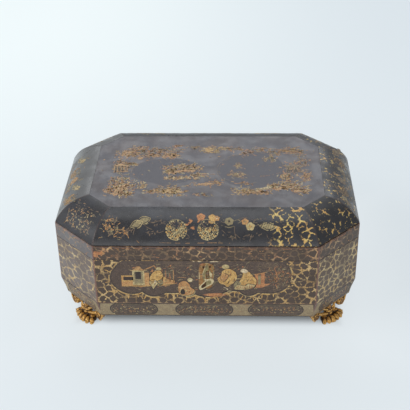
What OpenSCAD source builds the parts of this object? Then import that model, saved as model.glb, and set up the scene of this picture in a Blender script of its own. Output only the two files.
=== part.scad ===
// Eight-sided deed box with a domed lid on hinges, a box lock and four carved feet.
// Millimetres. X runs across the front, -Y points to the front, +Z is up.
// The origin is on the floor, under the middle of the box.
// Around the box the sides are numbered from the front, anticlockwise seen from above.

/* [Carcase] */
// Width across the front
box_w = 360; // [300:1:420]
// Depth from front to back
box_d = 256; // [220:1:320]
// Length that a canted corner takes off each side
cant = 51; // [40:1:60]
// Thickness of the wall boards and of the lid's rim boards
wall_t = 10; // [9:0.5:13]
// Height of the upright wall boards
wall_h = 61.5; // [50:0.5:90]
// Height of the sloping base mouldings
base_h = 24.5; // [18:0.5:32]
// How far the base mouldings slope in on their way down
base_in = 7; // [4:0.5:9]
// Thickness of the base mouldings at their lower edge
base_t = 13; // [11:0.5:16]
// Thickness of the bottom panel
floor_t = 6; // [4:0.5:9]
// Play around the bottom panel
panel_play = 0.2; // [0.1:0.05:0.4]

/* [Lid] */
// Height of the lid's upright rim, from the seam
rim_h = 18.5; // [14:0.5:26]
// Height of the curved part above the rim
dome_h = 28.5; // [24:0.5:36]
// How far the curve comes in, from the sides to the flat top
dome_in = 41; // [36:1:46]
// Radius of the curve
dome_r = 49.5; // [44:0.5:80]
// Thickness of the flat top panel
top_t = 8; // [5:0.5:10]
// Height of the groove between the rim and the curve
groove_h = 1.5; // [0.5:0.1:2.5]
// Depth of that groove, from the outside
groove_in = 2; // [1:0.1:3]
// Gap between the lid and the walls when the lid is shut
seam_gap = 0.3; // [0.2:0.05:0.6]

/* [Feet] */
// Height of a foot, from the floor to the base mouldings
foot_h = 21; // [19:0.5:30]
// Radius of the rounded lobe at each end of a foot's bracket
lobe_r = 5.8; // [4:0.1:7]
// How far the lobes hang below the base mouldings
lobe_drop = 11; // [10:0.5:14]
// Depth of the bracket and its lobes, from front to back
bracket_t = 9; // [8:0.5:12]
// Distance from each end of the canted moulding to the bracket's end
bracket_end = 1; // [0.5:0.1:3]
// Thickness of the strip that joins the lobes to the stem
bracket_h = 2.4; // [1.5:0.1:4]
// Radius of the stem
stem_r = 4.6; // [4:0.1:6]
// How far the scroll and the ankle stand behind the moulding's lower edge
ankle_in = 1; // [0:0.1:2]
// How far the middle of the paw stands in front of that edge
paw_out = 5; // [3:0.1:8]
// Height of the middle of the paw
paw_z = 6.5; // [6:0.1:8]
// Radius of the paw's ball
paw_r = 8; // [7.2:0.1:9]
// Radius of a toe
toe_r = 3.7; // [2.5:0.1:4.2]
// Number of toes on a paw
toe_count = 5; // [4:1:6]
// Angle between the first toe and the last
toe_spread = 152; // [120:1:180]
// Radius of the flat pad under a paw
pad_r = 5.5; // [4:0.1:7]
// Radius of a foot's dowel
dowel_r = 2.5; // [2:0.1:3]
// How far a dowel goes into the foot and into the base moulding
dowel_grip = 12; // [8:0.5:14]

/* [Hinges] */
// Distance from each end of the back to the middle of its hinge
hinge_end = 49; // [35:1:70]
// Length of a hinge's barrel
hinge_l = 36; // [30:1:50]
// Radius of the barrel
knuckle_r = 2.6; // [2.4:0.1:2.8]
// Radius of the hinge pin
hinge_pin_r = 1.1; // [0.8:0.1:1.3]
// Distance of the hinge axis from the back face
hinge_in = 3; // [3:0.1:3.6]
// Thickness of a hinge leaf
leaf_t = 1.4; // [1:0.1:1.8]
// Radius of a hinge screw's shank
hinge_screw_r = 1; // [0.8:0.1:1.2]
// Length of a hinge screw
hinge_screw_l = 9; // [6:0.5:12]
// Distance between a leaf's screws
hinge_screw_pitch = 12; // [10:0.5:13]
// Angle at which the open lid meets its stop
lid_stop = 101; // [95:1:110]

/* [Lock] */
// Distance of the lock from the middle of the front
lock_x = 2; // [-20:1:20]
// Width of the lock case
lock_w = 44; // [42:1:60]
// Height of the lock case
lock_h = 34; // [30:1:40]
// Depth of the lock case without its cap
lock_d = 9; // [8.5:0.1:11]
// Wood left in front of the lock case
lock_cover = 4; // [3:0.1:4.5]
// Thickness of the lock's plates
plate_t = 1.2; // [1:0.1:1.5]
// Width of the ear on each side of the lock case
ear_w = 7; // [6:0.5:9]
// Radius of a lock screw's shank
lock_screw_r = 1; // [0.8:0.1:1.2]
// Length of a lock screw
lock_screw_l = 6; // [4:0.5:6.5]
// Distance from each end of the lock case to its staple
staple_end = 13; // [12.5:0.5:14]
// Thickness of a staple, across the box
staple_t = 2; // [1.5:0.1:2.5]
// Width of a staple, from front to back
staple_w = 4.2; // [4:0.1:4.6]
// How far the staples hang below the seam
staple_drop = 10; // [9:0.5:12]
// Thickness of the strike plate
strike_t = 1.5; // [1:0.1:2]
// Thickness of the bolt
bolt_t = 1.8; // [1.4:0.1:2]
// Height of the bolt's prongs and of its bar
prong_h = 3.2; // [2.5:0.1:3.6]
// Length of a prong beyond the bolt's travel
prong_spare = 1; // [0.5:0.1:1.2]
// Gap between a drawn-back prong and its staple
prong_gap = 0.8; // [0.5:0.1:1]
// Width of the posts that carry the prongs
post_w = 2.5; // [1.5:0.1:2.6]
// Distance from the seam to the top of a staple's window
window_top = 3.6; // [3:0.1:4]
// Travel of the bolt
bolt_travel = 5; // [4:0.1:5.2]
// Thickness of the spring that steadies the bolt
spring_t = 0.5; // [0.3:0.1:0.8]

/* [Escutcheon] */
// Distance from the seam to the middle of the keyhole's round end
keyhole_drop = 18.5; // [17:0.5:22]
// Radius of the keyhole's round end
keyhole_r = 1.8; // [1.4:0.1:1.9]
// Length of the keyhole below its round end
keyhole_l = 6.5; // [5:0.5:8]
// Radius of the plate's arched top
plate_r = 8; // [7:0.5:10]
// Radius of the plate's rounded foot
plate_foot_r = 5.5; // [4:0.5:7]
// Distance between the centres of those two arcs
plate_l = 23; // [18:0.5:26]
// Distance from the seam to the plate's top
plate_drop = 3.5; // [3:0.5:8]
// Thickness of the plate at its rim
rim_t = 1.6; // [1:0.1:2.2]
// Width of the rim
rim_w = 1.1; // [0.6:0.1:2]
// How deep the plate lies inside its rim
dish = 0.6; // [0.2:0.1:0.9]
// Radius of the plate's two round eyes
eye_r = 1.4; // [0.8:0.1:1.8]
// Radius of an escutcheon pin
tack_r = 0.6; // [0.4:0.1:0.8]

/* [Fits] */
// Radial clearance of a hinge pin in its knuckles
pin_play = 0.05; // [0.02:0.01:0.1]
// Clearance around screws, dowels, tacks and let-in plates
fit = 0.05; // [0.02:0.01:0.1]
// Gap between turning knuckles, and between a knuckle and the wood
knuckle_gap = 0.35; // [0.2:0.05:0.4]
// Clearance of the lock's sliding and entering parts
slide_gap = 0.3; // [0.2:0.05:0.4]

/* [Hidden] */
$fn = 96;
SIDES = ["front", "front_right", "right", "back_right",
         "back", "back_left", "left", "front_left"];
FRONT = 0;
BACK = 4;
// Each corner foot with the number of the canted side that it stands under
CORNERS = [["front_right", 1], ["back_right", 3], ["back_left", 5], ["front_left", 7]];
// Each hinge with its direction along the back, which is seen from behind
HINGES = [["left", 1], ["right", -1]];

BLACK = "#2b2630";
EDGE = "#3a2a26";
GILT = "#b07a2c";
BRASS = "#a8935a";
STEEL = "#5b5a58";
WOOD = "#7a5a3a";

mitre = tan(22.5);
more = 1;
far = box_w + box_d;
z_wall = foot_h + base_h;
z_seam = z_wall + wall_h;
z_body = z_seam - seam_gap / 2;
z_lid = z_seam + seam_gap / 2;
z_rim = z_seam + rim_h;
z_top = z_rim + dome_h;
base_end = base_in + base_t;
bevel = lid_stop / 2;
plan_reach = dome_in + more;

function side_len(i) = i % 2 == 1 ? cant * sqrt(2) : (i % 4 == 0 ? box_w : box_d) - 2 * cant;
function side_out(i) = [sign(round(2 * sin(45 * i))), -sign(round(2 * cos(45 * i)))];
function side_mid(i) = i % 2 == 1
    ? [side_out(i).x * (box_w - cant) / 2, side_out(i).y * (box_d - cant) / 2]
    : [side_out(i).x * box_w / 2, side_out(i).y * box_d / 2];

// A side's own frame: X along it, Y inwards from its outer face, Z up.
module at_side(i) {
    translate([side_mid(i).x, side_mid(i).y, 0]) rotate([0, 0, 45 * i]) children();
}

// Runs an outline, drawn as depth and height, along X for a length l.
module along(l) {
    rotate([90, 0, 90]) linear_extrude(l, center = true) children();
}

// One side's board with mitred ends, from its outline in depth and height.
module mitred(i) {
    l = side_len(i);
    at_side(i) intersection() {
        along(l + 2 * more) children();
        translate([0, 0, -more]) linear_extrude(z_top + 2 * more)
            polygon([[-l / 2, 0], [l / 2, 0],
                     [l / 2 - mitre * plan_reach, plan_reach],
                     [-l / 2 + mitre * plan_reach, plan_reach]]);
    }
}

// The inside of the eight sides at a given distance from their outer faces.
module octagon(inset) {
    w = box_w / 2 - inset;
    d = box_d / 2 - inset;
    c = cant - inset * (2 - sqrt(2));
    polygon([[w - c, -d], [w, -d + c], [w, d - c], [w - c, d],
             [-w + c, d], [-w, d - c], [-w, -d + c], [-w + c, -d]]);
}

// A countersunk screw that points down, with its head's face at z = 0.
module screw(r, l, grow = 0) {
    head_r = 1.85 * r;
    translate([0, 0, -l - grow]) cylinder(r = r + grow, h = l + grow, $fn = 48);
    translate([0, 0, -(head_r - r)])
        cylinder(r1 = r + grow, r2 = head_r + grow, h = head_r - r, $fn = 48);
    if (grow > 0) cylinder(r = head_r + grow, h = more, $fn = 48);
}

module slotted_screw(r, l) {
    difference() {
        screw(r, l);
        translate([-2 * r, -0.2 * r, -0.35 * r]) cube([4 * r, 0.4 * r, r]);
    }
}

// Hinges, in the frame of the back

hinge_x = side_len(BACK) / 2 - hinge_end;
barrel_end = hinge_l / 2 + hinge_pin_r;

module at_hinge(dir) {
    at_side(BACK) translate([dir * hinge_x, hinge_in, z_seam]) children();
}

// A round bar along X, on the hinge axis.
module barrel(r, l) {
    rotate([0, 90, 0]) cylinder(r = r, h = l, center = true);
}

module at_leaf_screws() {
    for (k = [-1, 0, 1])
        translate([k * hinge_screw_pitch, (wall_t - hinge_in + knuckle_r) / 2, -seam_gap / 2])
            children();
}

// One leaf as it lies in the walls' top edge, with the barrel's middle or its two ends.
module leaf(middle) {
    third = hinge_l / 3;
    difference() {
        union() {
            translate([-hinge_l / 2, 0, -seam_gap / 2 - leaf_t])
                cube([hinge_l, wall_t - hinge_in, leaf_t]);
            if (middle) barrel(knuckle_r, third - knuckle_gap);
            else for (k = [-1, 1]) translate([k * third, 0, 0])
                barrel(knuckle_r, third - knuckle_gap);
        }
        barrel(hinge_pin_r + pin_play, hinge_l + 2 * more);
        if (middle) for (k = [-1, 1]) translate([k * third, 0, 0])
            barrel(knuckle_r + knuckle_gap, third + knuckle_gap);
        else barrel(knuckle_r + knuckle_gap, third + knuckle_gap);
        at_leaf_screws() screw(hinge_screw_r, hinge_screw_l, fit);
    }
}

// The room that a hinge takes out of the wood: leaf, barrel and screws.
module leaf_room() {
    translate([-hinge_l / 2 - fit, 0, -seam_gap / 2 - leaf_t - fit])
        cube([hinge_l + 2 * fit, wall_t, leaf_t + fit + more]);
    barrel(knuckle_r + knuckle_gap, 2 * (barrel_end + knuckle_gap));
    at_leaf_screws() screw(hinge_screw_r, hinge_screw_l, fit);
}

// The bevel behind the hinge axis, where the open lid comes to its stop.
module stop_bevel() {
    at_side(BACK) translate([0, hinge_in, z_seam]) along(far)
        polygon([[0, 0], [-hinge_in - more, -(hinge_in + more) * tan(bevel)],
                 [-hinge_in - more, seam_gap], [0, seam_gap]]);
}

// Turns a thing from the walls' edge over to the lid's edge.
module in_lid() {
    translate([0, 0, 2 * z_seam]) mirror([0, 0, 1]) children();
}

module body_hinge_cuts() {
    for (h = HINGES) at_hinge(h[1]) leaf_room();
    stop_bevel();
}

module hinge_body_leaf(dir) {
    color(BRASS) at_hinge(dir) leaf(false);
}

module hinge_lid_leaf(dir) {
    color(BRASS) in_lid() at_hinge(dir) leaf(true);
}

module hinge_pin(dir) {
    color(BRASS) at_hinge(dir) barrel(hinge_pin_r, 2 * barrel_end);
}

module hinge_screws() {
    for (h = HINGES) at_hinge(h[1]) at_leaf_screws() slotted_screw(hinge_screw_r, hinge_screw_l);
}

module hinge_body_screws() {
    color(STEEL) hinge_screws();
}

module hinge_lid_screws() {
    color(STEEL) in_lid() hinge_screws();
}

// Lock, in the frame of the front, with its height counted from the seam

lock_back = lock_cover + lock_d;
staple_mid = lock_cover + plate_t + slide_gap + staple_w / 2;
window_h = prong_h + 2 * slide_gap;
staple_x = lock_w / 2 - staple_end;
prong_z = -window_top - slide_gap - prong_h;
bar_z = -staple_drop - slide_gap - prong_h;
prong_l = bolt_travel + prong_spare;
keyhole_z = z_seam - keyhole_drop;

module at_lock() {
    at_side(FRONT) translate([lock_x, 0, z_seam]) children();
}

module keyhole(deep) {
    translate([0, -more, -keyhole_drop]) rotate([-90, 0, 0]) {
        cylinder(r = keyhole_r, h = deep + more, $fn = 48);
        translate([-keyhole_r * 0.6, 0, 0]) cube([keyhole_r * 1.2, keyhole_l, deep + more]);
    }
}

// The places of the four screws in the lock's ears, pointing to the front.
module at_ear_screws() {
    for (x = [-1, 1], z = [0.22, 0.78])
        translate([x * (lock_w + ear_w) / 2, wall_t + plate_t, -z * lock_h])
            rotate([-90, 0, 0]) children();
}

module lock_room() {
    at_lock() {
        translate([-lock_w / 2 - fit, lock_cover - fit, -lock_h - fit])
            cube([lock_w + 2 * fit, wall_t, lock_h + more]);
        keyhole(lock_cover + more);
        at_ear_screws() screw(lock_screw_r, lock_screw_l, fit);
    }
}

module lock_case() {
    inner_w = lock_w - 2 * plate_t;
    top = -seam_gap / 2;
    color(BRASS) at_lock() difference() {
        union() {
            translate([-lock_w / 2, lock_cover, -lock_h]) cube([lock_w, lock_d, lock_h + top]);
            translate([-lock_w / 2 - ear_w, wall_t, -lock_h])
                cube([lock_w + 2 * ear_w, plate_t, lock_h - strike_t]);
        }
        difference() {
            translate([-inner_w / 2, lock_cover + plate_t, plate_t - lock_h])
                cube([inner_w, lock_d, lock_h + top - 2 * plate_t]);
            // Two rails that the bolt's bar slides on
            for (x = [-1, 1])
                translate([x * staple_x - 2 * post_w, lock_cover, bar_z - slide_gap / 2 - plate_t])
                    cube([4 * post_w, lock_d - 2 * plate_t, plate_t]);
        }
        for (x = [-1, 1])
            translate([x * staple_x - staple_t / 2 - slide_gap,
                       staple_mid - staple_w / 2 - slide_gap, -2 * plate_t])
                cube([staple_t + 2 * slide_gap, staple_w + 2 * slide_gap, 3 * plate_t]);
        translate([0, lock_cover, 0]) keyhole(plate_t + more);
        at_ear_screws() screw(lock_screw_r, lock_screw_l, fit);
    }
}

module lock_cap() {
    color(BRASS) at_lock() translate([-lock_w / 2, lock_back, -lock_h])
        cube([lock_w, plate_t, lock_h - strike_t]);
}

// A bar with two posts, each with a prong that enters a staple's window.
module lock_bolt() {
    reach = staple_x + staple_t / 2;
    color(STEEL) at_lock() translate([0, staple_mid - bolt_t / 2, 0]) difference() {
        union() {
            translate([-reach - prong_gap - prong_l - post_w, 0, bar_z])
                cube([2 * reach + prong_gap + prong_l + post_w, bolt_t, prong_h]);
            for (x = [-1, 1])
                translate([x * staple_x - staple_t / 2 - prong_gap - prong_l, 0, 0]) {
                    translate([-post_w, 0, bar_z])
                        cube([post_w, bolt_t, prong_z + prong_h - bar_z]);
                    translate([-post_w, 0, prong_z]) cube([prong_l + post_w, bolt_t, prong_h]);
                }
        }
        // The notch that a key's bit pushes in
        translate([-keyhole_r, -more, bar_z - more])
            cube([2 * keyhole_r, bolt_t + 2 * more, more + prong_h / 2]);
    }
}

// A bowed strip between the cap and the bolt's bar.
module lock_spring() {
    half = lock_w / 4;
    bow_front = staple_mid + bolt_t / 2 + slide_gap / 2;
    rise = lock_back - slide_gap / 2 - bow_front;
    bow_r = (half * half + rise * rise) / (2 * rise);
    color(STEEL) at_lock() translate([0, bow_front + bow_r, bar_z]) difference() {
        cylinder(r = bow_r, h = prong_h, $fn = 180);
        translate([0, 0, -more]) cylinder(r = bow_r - spring_t, h = prong_h + 2 * more, $fn = 180);
        translate([-far, rise - bow_r, -more]) cube([2 * far, far, prong_h + 2 * more]);
    }
}

module lock_screws() {
    color(STEEL) at_lock() at_ear_screws() slotted_screw(lock_screw_r, lock_screw_l);
}

module strike_outline(grow) {
    back = wall_t - 2 * fit;
    translate([-lock_w / 2 - grow, 2 * staple_mid - back - grow, seam_gap / 2 - more])
        cube([lock_w + 2 * grow, 2 * (back - staple_mid) + 2 * grow, strike_t + more + grow]);
}

module at_strike_screws() {
    for (x = [-1, 1]) translate([x * lock_w * 0.38, staple_mid, seam_gap / 2])
        mirror([0, 0, 1]) children();
}

module strike_plate() {
    color(BRASS) at_lock() difference() {
        union() {
            intersection() {
                strike_outline(0);
                translate([-far, -far, seam_gap / 2]) cube([2 * far, 2 * far, far]);
            }
            for (x = [-1, 1])
                translate([x * staple_x - staple_t / 2, staple_mid - staple_w / 2, -staple_drop])
                    cube([staple_t, staple_w, staple_drop + strike_t]);
        }
        translate([-lock_w / 2, staple_mid - bolt_t / 2 - slide_gap, -window_top - window_h])
            cube([lock_w, bolt_t + 2 * slide_gap, window_h]);
        at_strike_screws() screw(lock_screw_r, lock_screw_l, fit);
    }
}

module strike_screws() {
    color(STEEL) at_lock() at_strike_screws() slotted_screw(lock_screw_r, lock_screw_l);
}

module strike_room() {
    at_lock() {
        strike_outline(fit);
        at_strike_screws() screw(lock_screw_r, lock_screw_l, fit);
    }
}

// Escutcheon, let into the front so that its rim is level with the wood

plate_z = -plate_drop - plate_r;

// Two arcs and their common tangents, smaller by inset all round.
module plate_outline(inset) {
    lean_in = asin((plate_r - plate_foot_r) / plate_l);
    steps = 24;
    polygon(concat(
        [for (k = [0 : steps]) let (a = -lean_in + (180 + 2 * lean_in) * k / steps)
            (plate_r - inset) * [cos(a), sin(a)]],
        [for (k = [0 : steps]) let (a = 180 + lean_in + (180 - 2 * lean_in) * k / steps)
            (plate_foot_r - inset) * [cos(a), sin(a)] - [0, plate_l]]));
}

// An outline seen from the front, made solid from a depth of a to a depth of b.
module let_in(a, b) {
    translate([0, b, plate_z]) rotate([90, 0, 0]) linear_extrude(b - a) children();
}

module at_tacks() {
    for (z = [plate_r - rim_w - 2 * tack_r, -plate_l - plate_foot_r + rim_w + 2 * tack_r])
        translate([0, dish, plate_z + z]) rotate([-90, 0, 0]) children();
}

module escutcheon() {
    color(BRASS) at_lock() difference() {
        let_in(0, rim_t) plate_outline(0);
        let_in(-more, dish) plate_outline(rim_w);
        let_in(-more, rim_t + more)
            for (x = [-1, 1]) translate([x * plate_r * 0.48, plate_r * 0.1]) circle(r = eye_r);
        keyhole(rim_t + more);
        at_tacks() cylinder(r = tack_r + fit, h = rim_t + more, $fn = 32);
    }
}

module escutcheon_tacks() {
    color(BRASS) at_lock() at_tacks()
        cylinder(r = tack_r, h = (lock_cover + rim_t) / 2 - dish, $fn = 32);
}

module escutcheon_room() {
    at_lock() {
        let_in(-more, rim_t + fit) plate_outline(-fit);
        at_tacks() cylinder(r = tack_r + fit, h = (lock_cover + rim_t) / 2 + fit - dish, $fn = 32);
    }
}

// Walls, base and panels

module wall(i) {
    color(BLACK) difference() {
        mitred(i) translate([0, z_wall]) square([wall_t, wall_h - seam_gap / 2]);
        if (i == FRONT) {
            lock_room();
            escutcheon_room();
        }
        if (abs(i - BACK) <= 1) body_hinge_cuts();
    }
}

module base(i) {
    color(EDGE) difference() {
        mitred(i) polygon([[0, z_wall], [base_in, foot_h], [base_end, foot_h], [base_end, z_wall]]);
        if (i % 2 == 1) at_dowel(i) cylinder(r = dowel_r + fit, h = dowel_grip + fit, $fn = 48);
    }
}

module bottom_panel() {
    color(BLACK) translate([0, 0, z_wall]) linear_extrude(floor_t) octagon(wall_t + panel_play);
}

// Lid

chord = norm([dome_in, dome_h]);
lean = atan2(dome_h, dome_in);
arc_drop = sqrt(dome_r * dome_r - chord * chord / 4);

module rim(i) {
    color(BLACK) difference() {
        mitred(i) translate([0, z_lid]) square([wall_t, rim_h - seam_gap / 2]);
        if (i == FRONT) strike_room();
        if (abs(i - BACK) <= 1) in_lid() body_hinge_cuts();
    }
}

module dome(i) {
    color(BLACK) mitred(i) translate([0, z_rim]) intersection() {
        translate([dome_in / 2 + arc_drop * sin(lean), dome_h / 2 - arc_drop * cos(lean)])
            circle(r = dome_r, $fn = 360);
        polygon([[groove_in, 0], [groove_in, groove_h], [-more, groove_h], [-more, dome_h],
                 [dome_in, dome_h], [dome_in, dome_h - top_t], [wall_t, 0]]);
    }
}

module top_panel() {
    color(BLACK) translate([0, 0, z_top - top_t]) linear_extrude(top_t) octagon(dome_in);
}

// Feet, in the frame of the canted side above each

stem_in = base_in + bracket_t / 2;
paw_in = base_in - paw_out;
ankle_z = foot_h - stem_r;
ankle_run = paw_out + ankle_in;
ankle_lean = atan2(ankle_run, ankle_z - paw_z);

module at_dowel(i) {
    at_side(i) translate([0, stem_in, foot_h]) children();
}

// A round bar from front to back under the base moulding.
module lobe(x, z, r, deep) {
    translate([x, base_in + bracket_t - deep, z]) rotate([-90, 0, 0])
        cylinder(r = r, h = deep, $fn = 64);
}

module foot(i) {
    bracket_l = side_len(i) - 2 * mitre * base_in - 2 * bracket_end;
    lobe_x = bracket_l / 2 - lobe_r;
    lobe_z = foot_h - lobe_drop + lobe_r;
    color(GILT) at_side(i) difference() {
        intersection() {
            union() {
                translate([-bracket_l / 2, base_in, foot_h - bracket_h])
                    cube([bracket_l, bracket_t, bracket_h]);
                for (x = [-1, 1]) {
                    lobe(x * lobe_x, lobe_z, lobe_r, bracket_t);
                    lobe(x * (lobe_x - lobe_r * 0.6), foot_h - lobe_r * 0.4, lobe_r * 0.6, bracket_t);
                }
                // The stem around the dowel, the ankle, and the scroll that rolls over it
                translate([0, stem_in, paw_z]) cylinder(r = stem_r, h = foot_h - paw_z);
                translate([0, paw_in, paw_z]) rotate([-ankle_lean, 0, 0])
                    cylinder(r = stem_r * 1.15, h = norm([ankle_run, ankle_z - paw_z]));
                translate([0, base_in + ankle_in, ankle_z]) rotate([0, 90, 0])
                    cylinder(r = stem_r * 0.92, h = 2.4 * stem_r, center = true);
                // The paw's ball, its flat pad and its toes
                translate([0, paw_in, paw_z]) sphere(r = paw_r);
                translate([0, paw_in, 0]) cylinder(r = pad_r, h = paw_z);
                for (k = [0 : toe_count - 1])
                    translate([0, paw_in, toe_r * 0.9])
                        rotate([0, 0, toe_spread * (k / (toe_count - 1) - 0.5)])
                            translate([0, -paw_r, 0]) sphere(r = toe_r, $fn = 48);
            }
            translate([-far / 2, -far / 2, 0]) cube([far, far, foot_h]);
        }
        translate([0, stem_in, foot_h - dowel_grip - fit])
            cylinder(r = dowel_r + fit, h = dowel_grip + more, $fn = 48);
    }
}

module foot_dowels() {
    color(WOOD) for (c = CORNERS) at_dowel(c[1]) translate([0, 0, -dowel_grip])
        cylinder(r = dowel_r, h = 2 * dowel_grip, $fn = 48);
}

for (i = [0 : 7]) {
    wall(i);
    base(i);
    rim(i);
    dome(i);
}
for (c = CORNERS) {
    foot(c[1]);
}
for (h = HINGES) {
    hinge_body_leaf(h[1]);
    hinge_lid_leaf(h[1]);
    hinge_pin(h[1]);
}
bottom_panel();
top_panel();
foot_dowels();
hinge_body_screws();
hinge_lid_screws();
lock_case();
lock_cap();
lock_bolt();
lock_spring();
lock_screws();
strike_plate();
strike_screws();
escutcheon();
escutcheon_tacks();
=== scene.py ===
"""The looks of an eight-sided black and gold lacquer deed box with a domed lid and carved feet.

Everything is built in millimetres in the CAD frame and scaled to metres when it becomes a mesh.
Around the box the sides are numbered from the front, anticlockwise seen from above.
"""

import copy
import math
import random

import bmesh
import bpy
import numpy as np
from mathutils import Matrix, Vector, noise
from mathutils.geometry import delaunay_2d_cdt


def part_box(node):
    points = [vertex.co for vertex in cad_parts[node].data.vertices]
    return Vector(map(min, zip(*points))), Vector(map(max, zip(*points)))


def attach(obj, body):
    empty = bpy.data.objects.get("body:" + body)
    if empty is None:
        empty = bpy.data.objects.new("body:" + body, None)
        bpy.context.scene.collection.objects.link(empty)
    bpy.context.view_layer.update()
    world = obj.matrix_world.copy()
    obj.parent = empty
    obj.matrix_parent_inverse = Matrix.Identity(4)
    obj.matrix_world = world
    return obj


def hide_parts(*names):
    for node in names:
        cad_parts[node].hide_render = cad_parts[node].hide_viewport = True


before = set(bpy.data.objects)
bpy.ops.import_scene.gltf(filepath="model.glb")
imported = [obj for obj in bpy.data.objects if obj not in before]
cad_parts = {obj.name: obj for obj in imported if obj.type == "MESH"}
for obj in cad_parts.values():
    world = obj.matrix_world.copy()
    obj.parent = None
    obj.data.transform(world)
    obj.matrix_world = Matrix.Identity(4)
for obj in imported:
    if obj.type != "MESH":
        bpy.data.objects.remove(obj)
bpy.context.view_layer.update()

MM = 0.001
SIDES = ("front", "front_right", "right", "back_right", "back", "back_left", "left", "front_left")
FRONT, RIGHT, BACK, LEFT, FRONT_LEFT = 0, 2, 4, 6, 7
MITRE = math.tan(math.radians(22.5))


def corner(node, high):
    """A corner of a CAD node's box in millimetres."""
    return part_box(node)[high] / MM


# Main sizes, read from the CAD frame
HALF_W = corner("wall_right", 1).x
HALF_D = -corner("wall_front", 0).y
CANT = HALF_W - corner("wall_front", 1).x
WALL_T = HALF_D + corner("wall_front", 1).y
Z_FOOT = corner("base_front", 0).z
Z_WALL = corner("wall_front", 0).z
Z_BODY = corner("wall_front", 1).z
Z_LID = corner("rim_front", 0).z
Z_RIM = corner("rim_front", 1).z
Z_TOP = corner("dome_front", 1).z
TOP_T = Z_TOP - corner("top_panel", 0).z
DOME_IN = HALF_D + corner("top_panel", 0).y
BASE_DEEP = HALF_D + corner("base_front", 1).y
Z_SEAM = (Z_BODY + Z_LID) / 2

# Shapes that the boxes don't give
BASE_IN = 7.0
DOME_R = 49.5
GROOVE_IN = 2.0
GROOVE_H = 1.5
STOP_BEVEL = math.radians(50.5)
HINGE_IN = 3.0
BEVEL_ROOM = 0.15  # how far the bevel starts behind the hinge axis
LEAF_SLACK = 0.1  # room beside a hinge leaf
LEAF_DEEP = 1.45  # depth of the recess for a hinge leaf
BARREL_R = 2.95  # radius of the room for a hinge's barrel
LOCK_EAR = 7.0  # length of each ear of the lock, which lies on the wall
FIT = 0.05  # room round the lock and the escutcheon
PLATE_FOOT_R = 5.5  # radius of the escutcheon's lower arc
SKIN = 0.25  # depth of the lacquer ground below the raised gilding
ARRIS = 0.6  # radius of a board's worn long edges
CORNER = 1.8  # radius of the worn upright corners

# The centre of the dome's curve, as inset and height
chord = math.hypot(DOME_IN, Z_TOP - Z_RIM)
arc_drop = math.sqrt(DOME_R**2 - chord**2 / 4)
DOME_CU = DOME_IN / 2 + arc_drop * (Z_TOP - Z_RIM) / chord
DOME_CZ = Z_RIM + (Z_TOP - Z_RIM) / 2 - arc_drop * DOME_IN / chord


def side_length(side):
    if side % 2:
        return CANT * math.sqrt(2)
    return 2 * ((HALF_W if side % 4 == 0 else HALF_D) - CANT)


def side_frame(side):
    """A side's own frame: X along it, Y inwards from its outer face, Z up."""
    turn = math.radians(45 * side)
    out_x = round(2 * math.sin(turn))
    out_y = -round(2 * math.cos(turn))
    inset = CANT / 2 if side % 2 else 0
    x = math.copysign(HALF_W - inset, out_x) if out_x else 0
    y = math.copysign(HALF_D - inset, out_y) if out_y else 0
    return Matrix.Translation((x, y, 0)) @ Matrix.Rotation(turn, 4, "Z")


# Meshes


class Form:
    """Faces in millimetres with a paint number and two UV maps each.

    The first map is the place along and across a side, the second the distances to its two ends."""

    def __init__(self):
        self.points = []
        self.faces = []
        self.marks = []
        self.places = []
        self.ends = []

    def add(self, points):
        first = len(self.points)
        self.points += [tuple(p) for p in points]
        return range(first, first + len(points))

    def face(self, corners, mark, places, ends=None):
        self.faces.append(tuple(corners))
        self.marks.append(mark)
        self.places += places
        self.ends += ends or [(30.0, 30.0)] * len(corners)

    def build(self, name, materials, smooth=40):
        mesh = bpy.data.meshes.new(name)
        mesh.from_pydata([Vector(p) * MM for p in self.points], [], self.faces)
        for title, values in (("place", self.places), ("ends", self.ends)):
            layer = mesh.uv_layers.new(name=title)
            layer.data.foreach_set("uv", np.array(values, np.float32).ravel())
        for material in materials:
            mesh.materials.append(material)
        mesh.polygons.foreach_set("material_index", self.marks)
        return finish_mesh(name, mesh, smooth)


def finish_mesh(name, mesh, smooth=40):
    mesh.update()
    obj = bpy.data.objects.new(name, mesh)
    bpy.context.scene.collection.objects.link(obj)
    mesh.shade_smooth()
    mesh.set_sharp_from_angle(angle=math.radians(smooth))
    return obj


def settle(obj, body, slot, *nodes):
    """Hangs an object on the body it rides on and hides the CAD nodes that it stands for; its slot is
    not used.
    """
    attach(obj, body)
    if nodes:
        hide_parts(*nodes)
    return obj


def with_modifiers(obj):
    """Applies an object's modifiers to its mesh."""
    graph = bpy.context.evaluated_depsgraph_get()
    mesh = bpy.data.meshes.new_from_object(obj.evaluated_get(graph))
    obj.modifiers.clear()
    obj.data = mesh
    return obj


def soften(outline, radii, steps=3):
    """Rounds the corners of a closed outline. A point is (depth, height, paint of what follows)."""
    out = []
    for k, (u, z, mark) in enumerate(outline):
        here = Vector((u, z))
        before = Vector(outline[k - 1][:2]) - here
        after = Vector(outline[(k + 1) % len(outline)][:2]) - here
        if not radii[k]:
            out.append((u, z, mark))
            continue
        half_turn = before.angle(after) / 2
        reach = radii[k] / math.tan(half_turn)
        start = here + before.normalized() * reach
        end = here + after.normalized() * reach
        for step in range(steps + 1):
            t = step / steps
            point = start * (1 - t) ** 2 + here * 2 * t * (1 - t) + end * t**2
            out.append((point.x, point.y, mark if t > 0.5 else outline[k - 1][2]))
    return out


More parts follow.
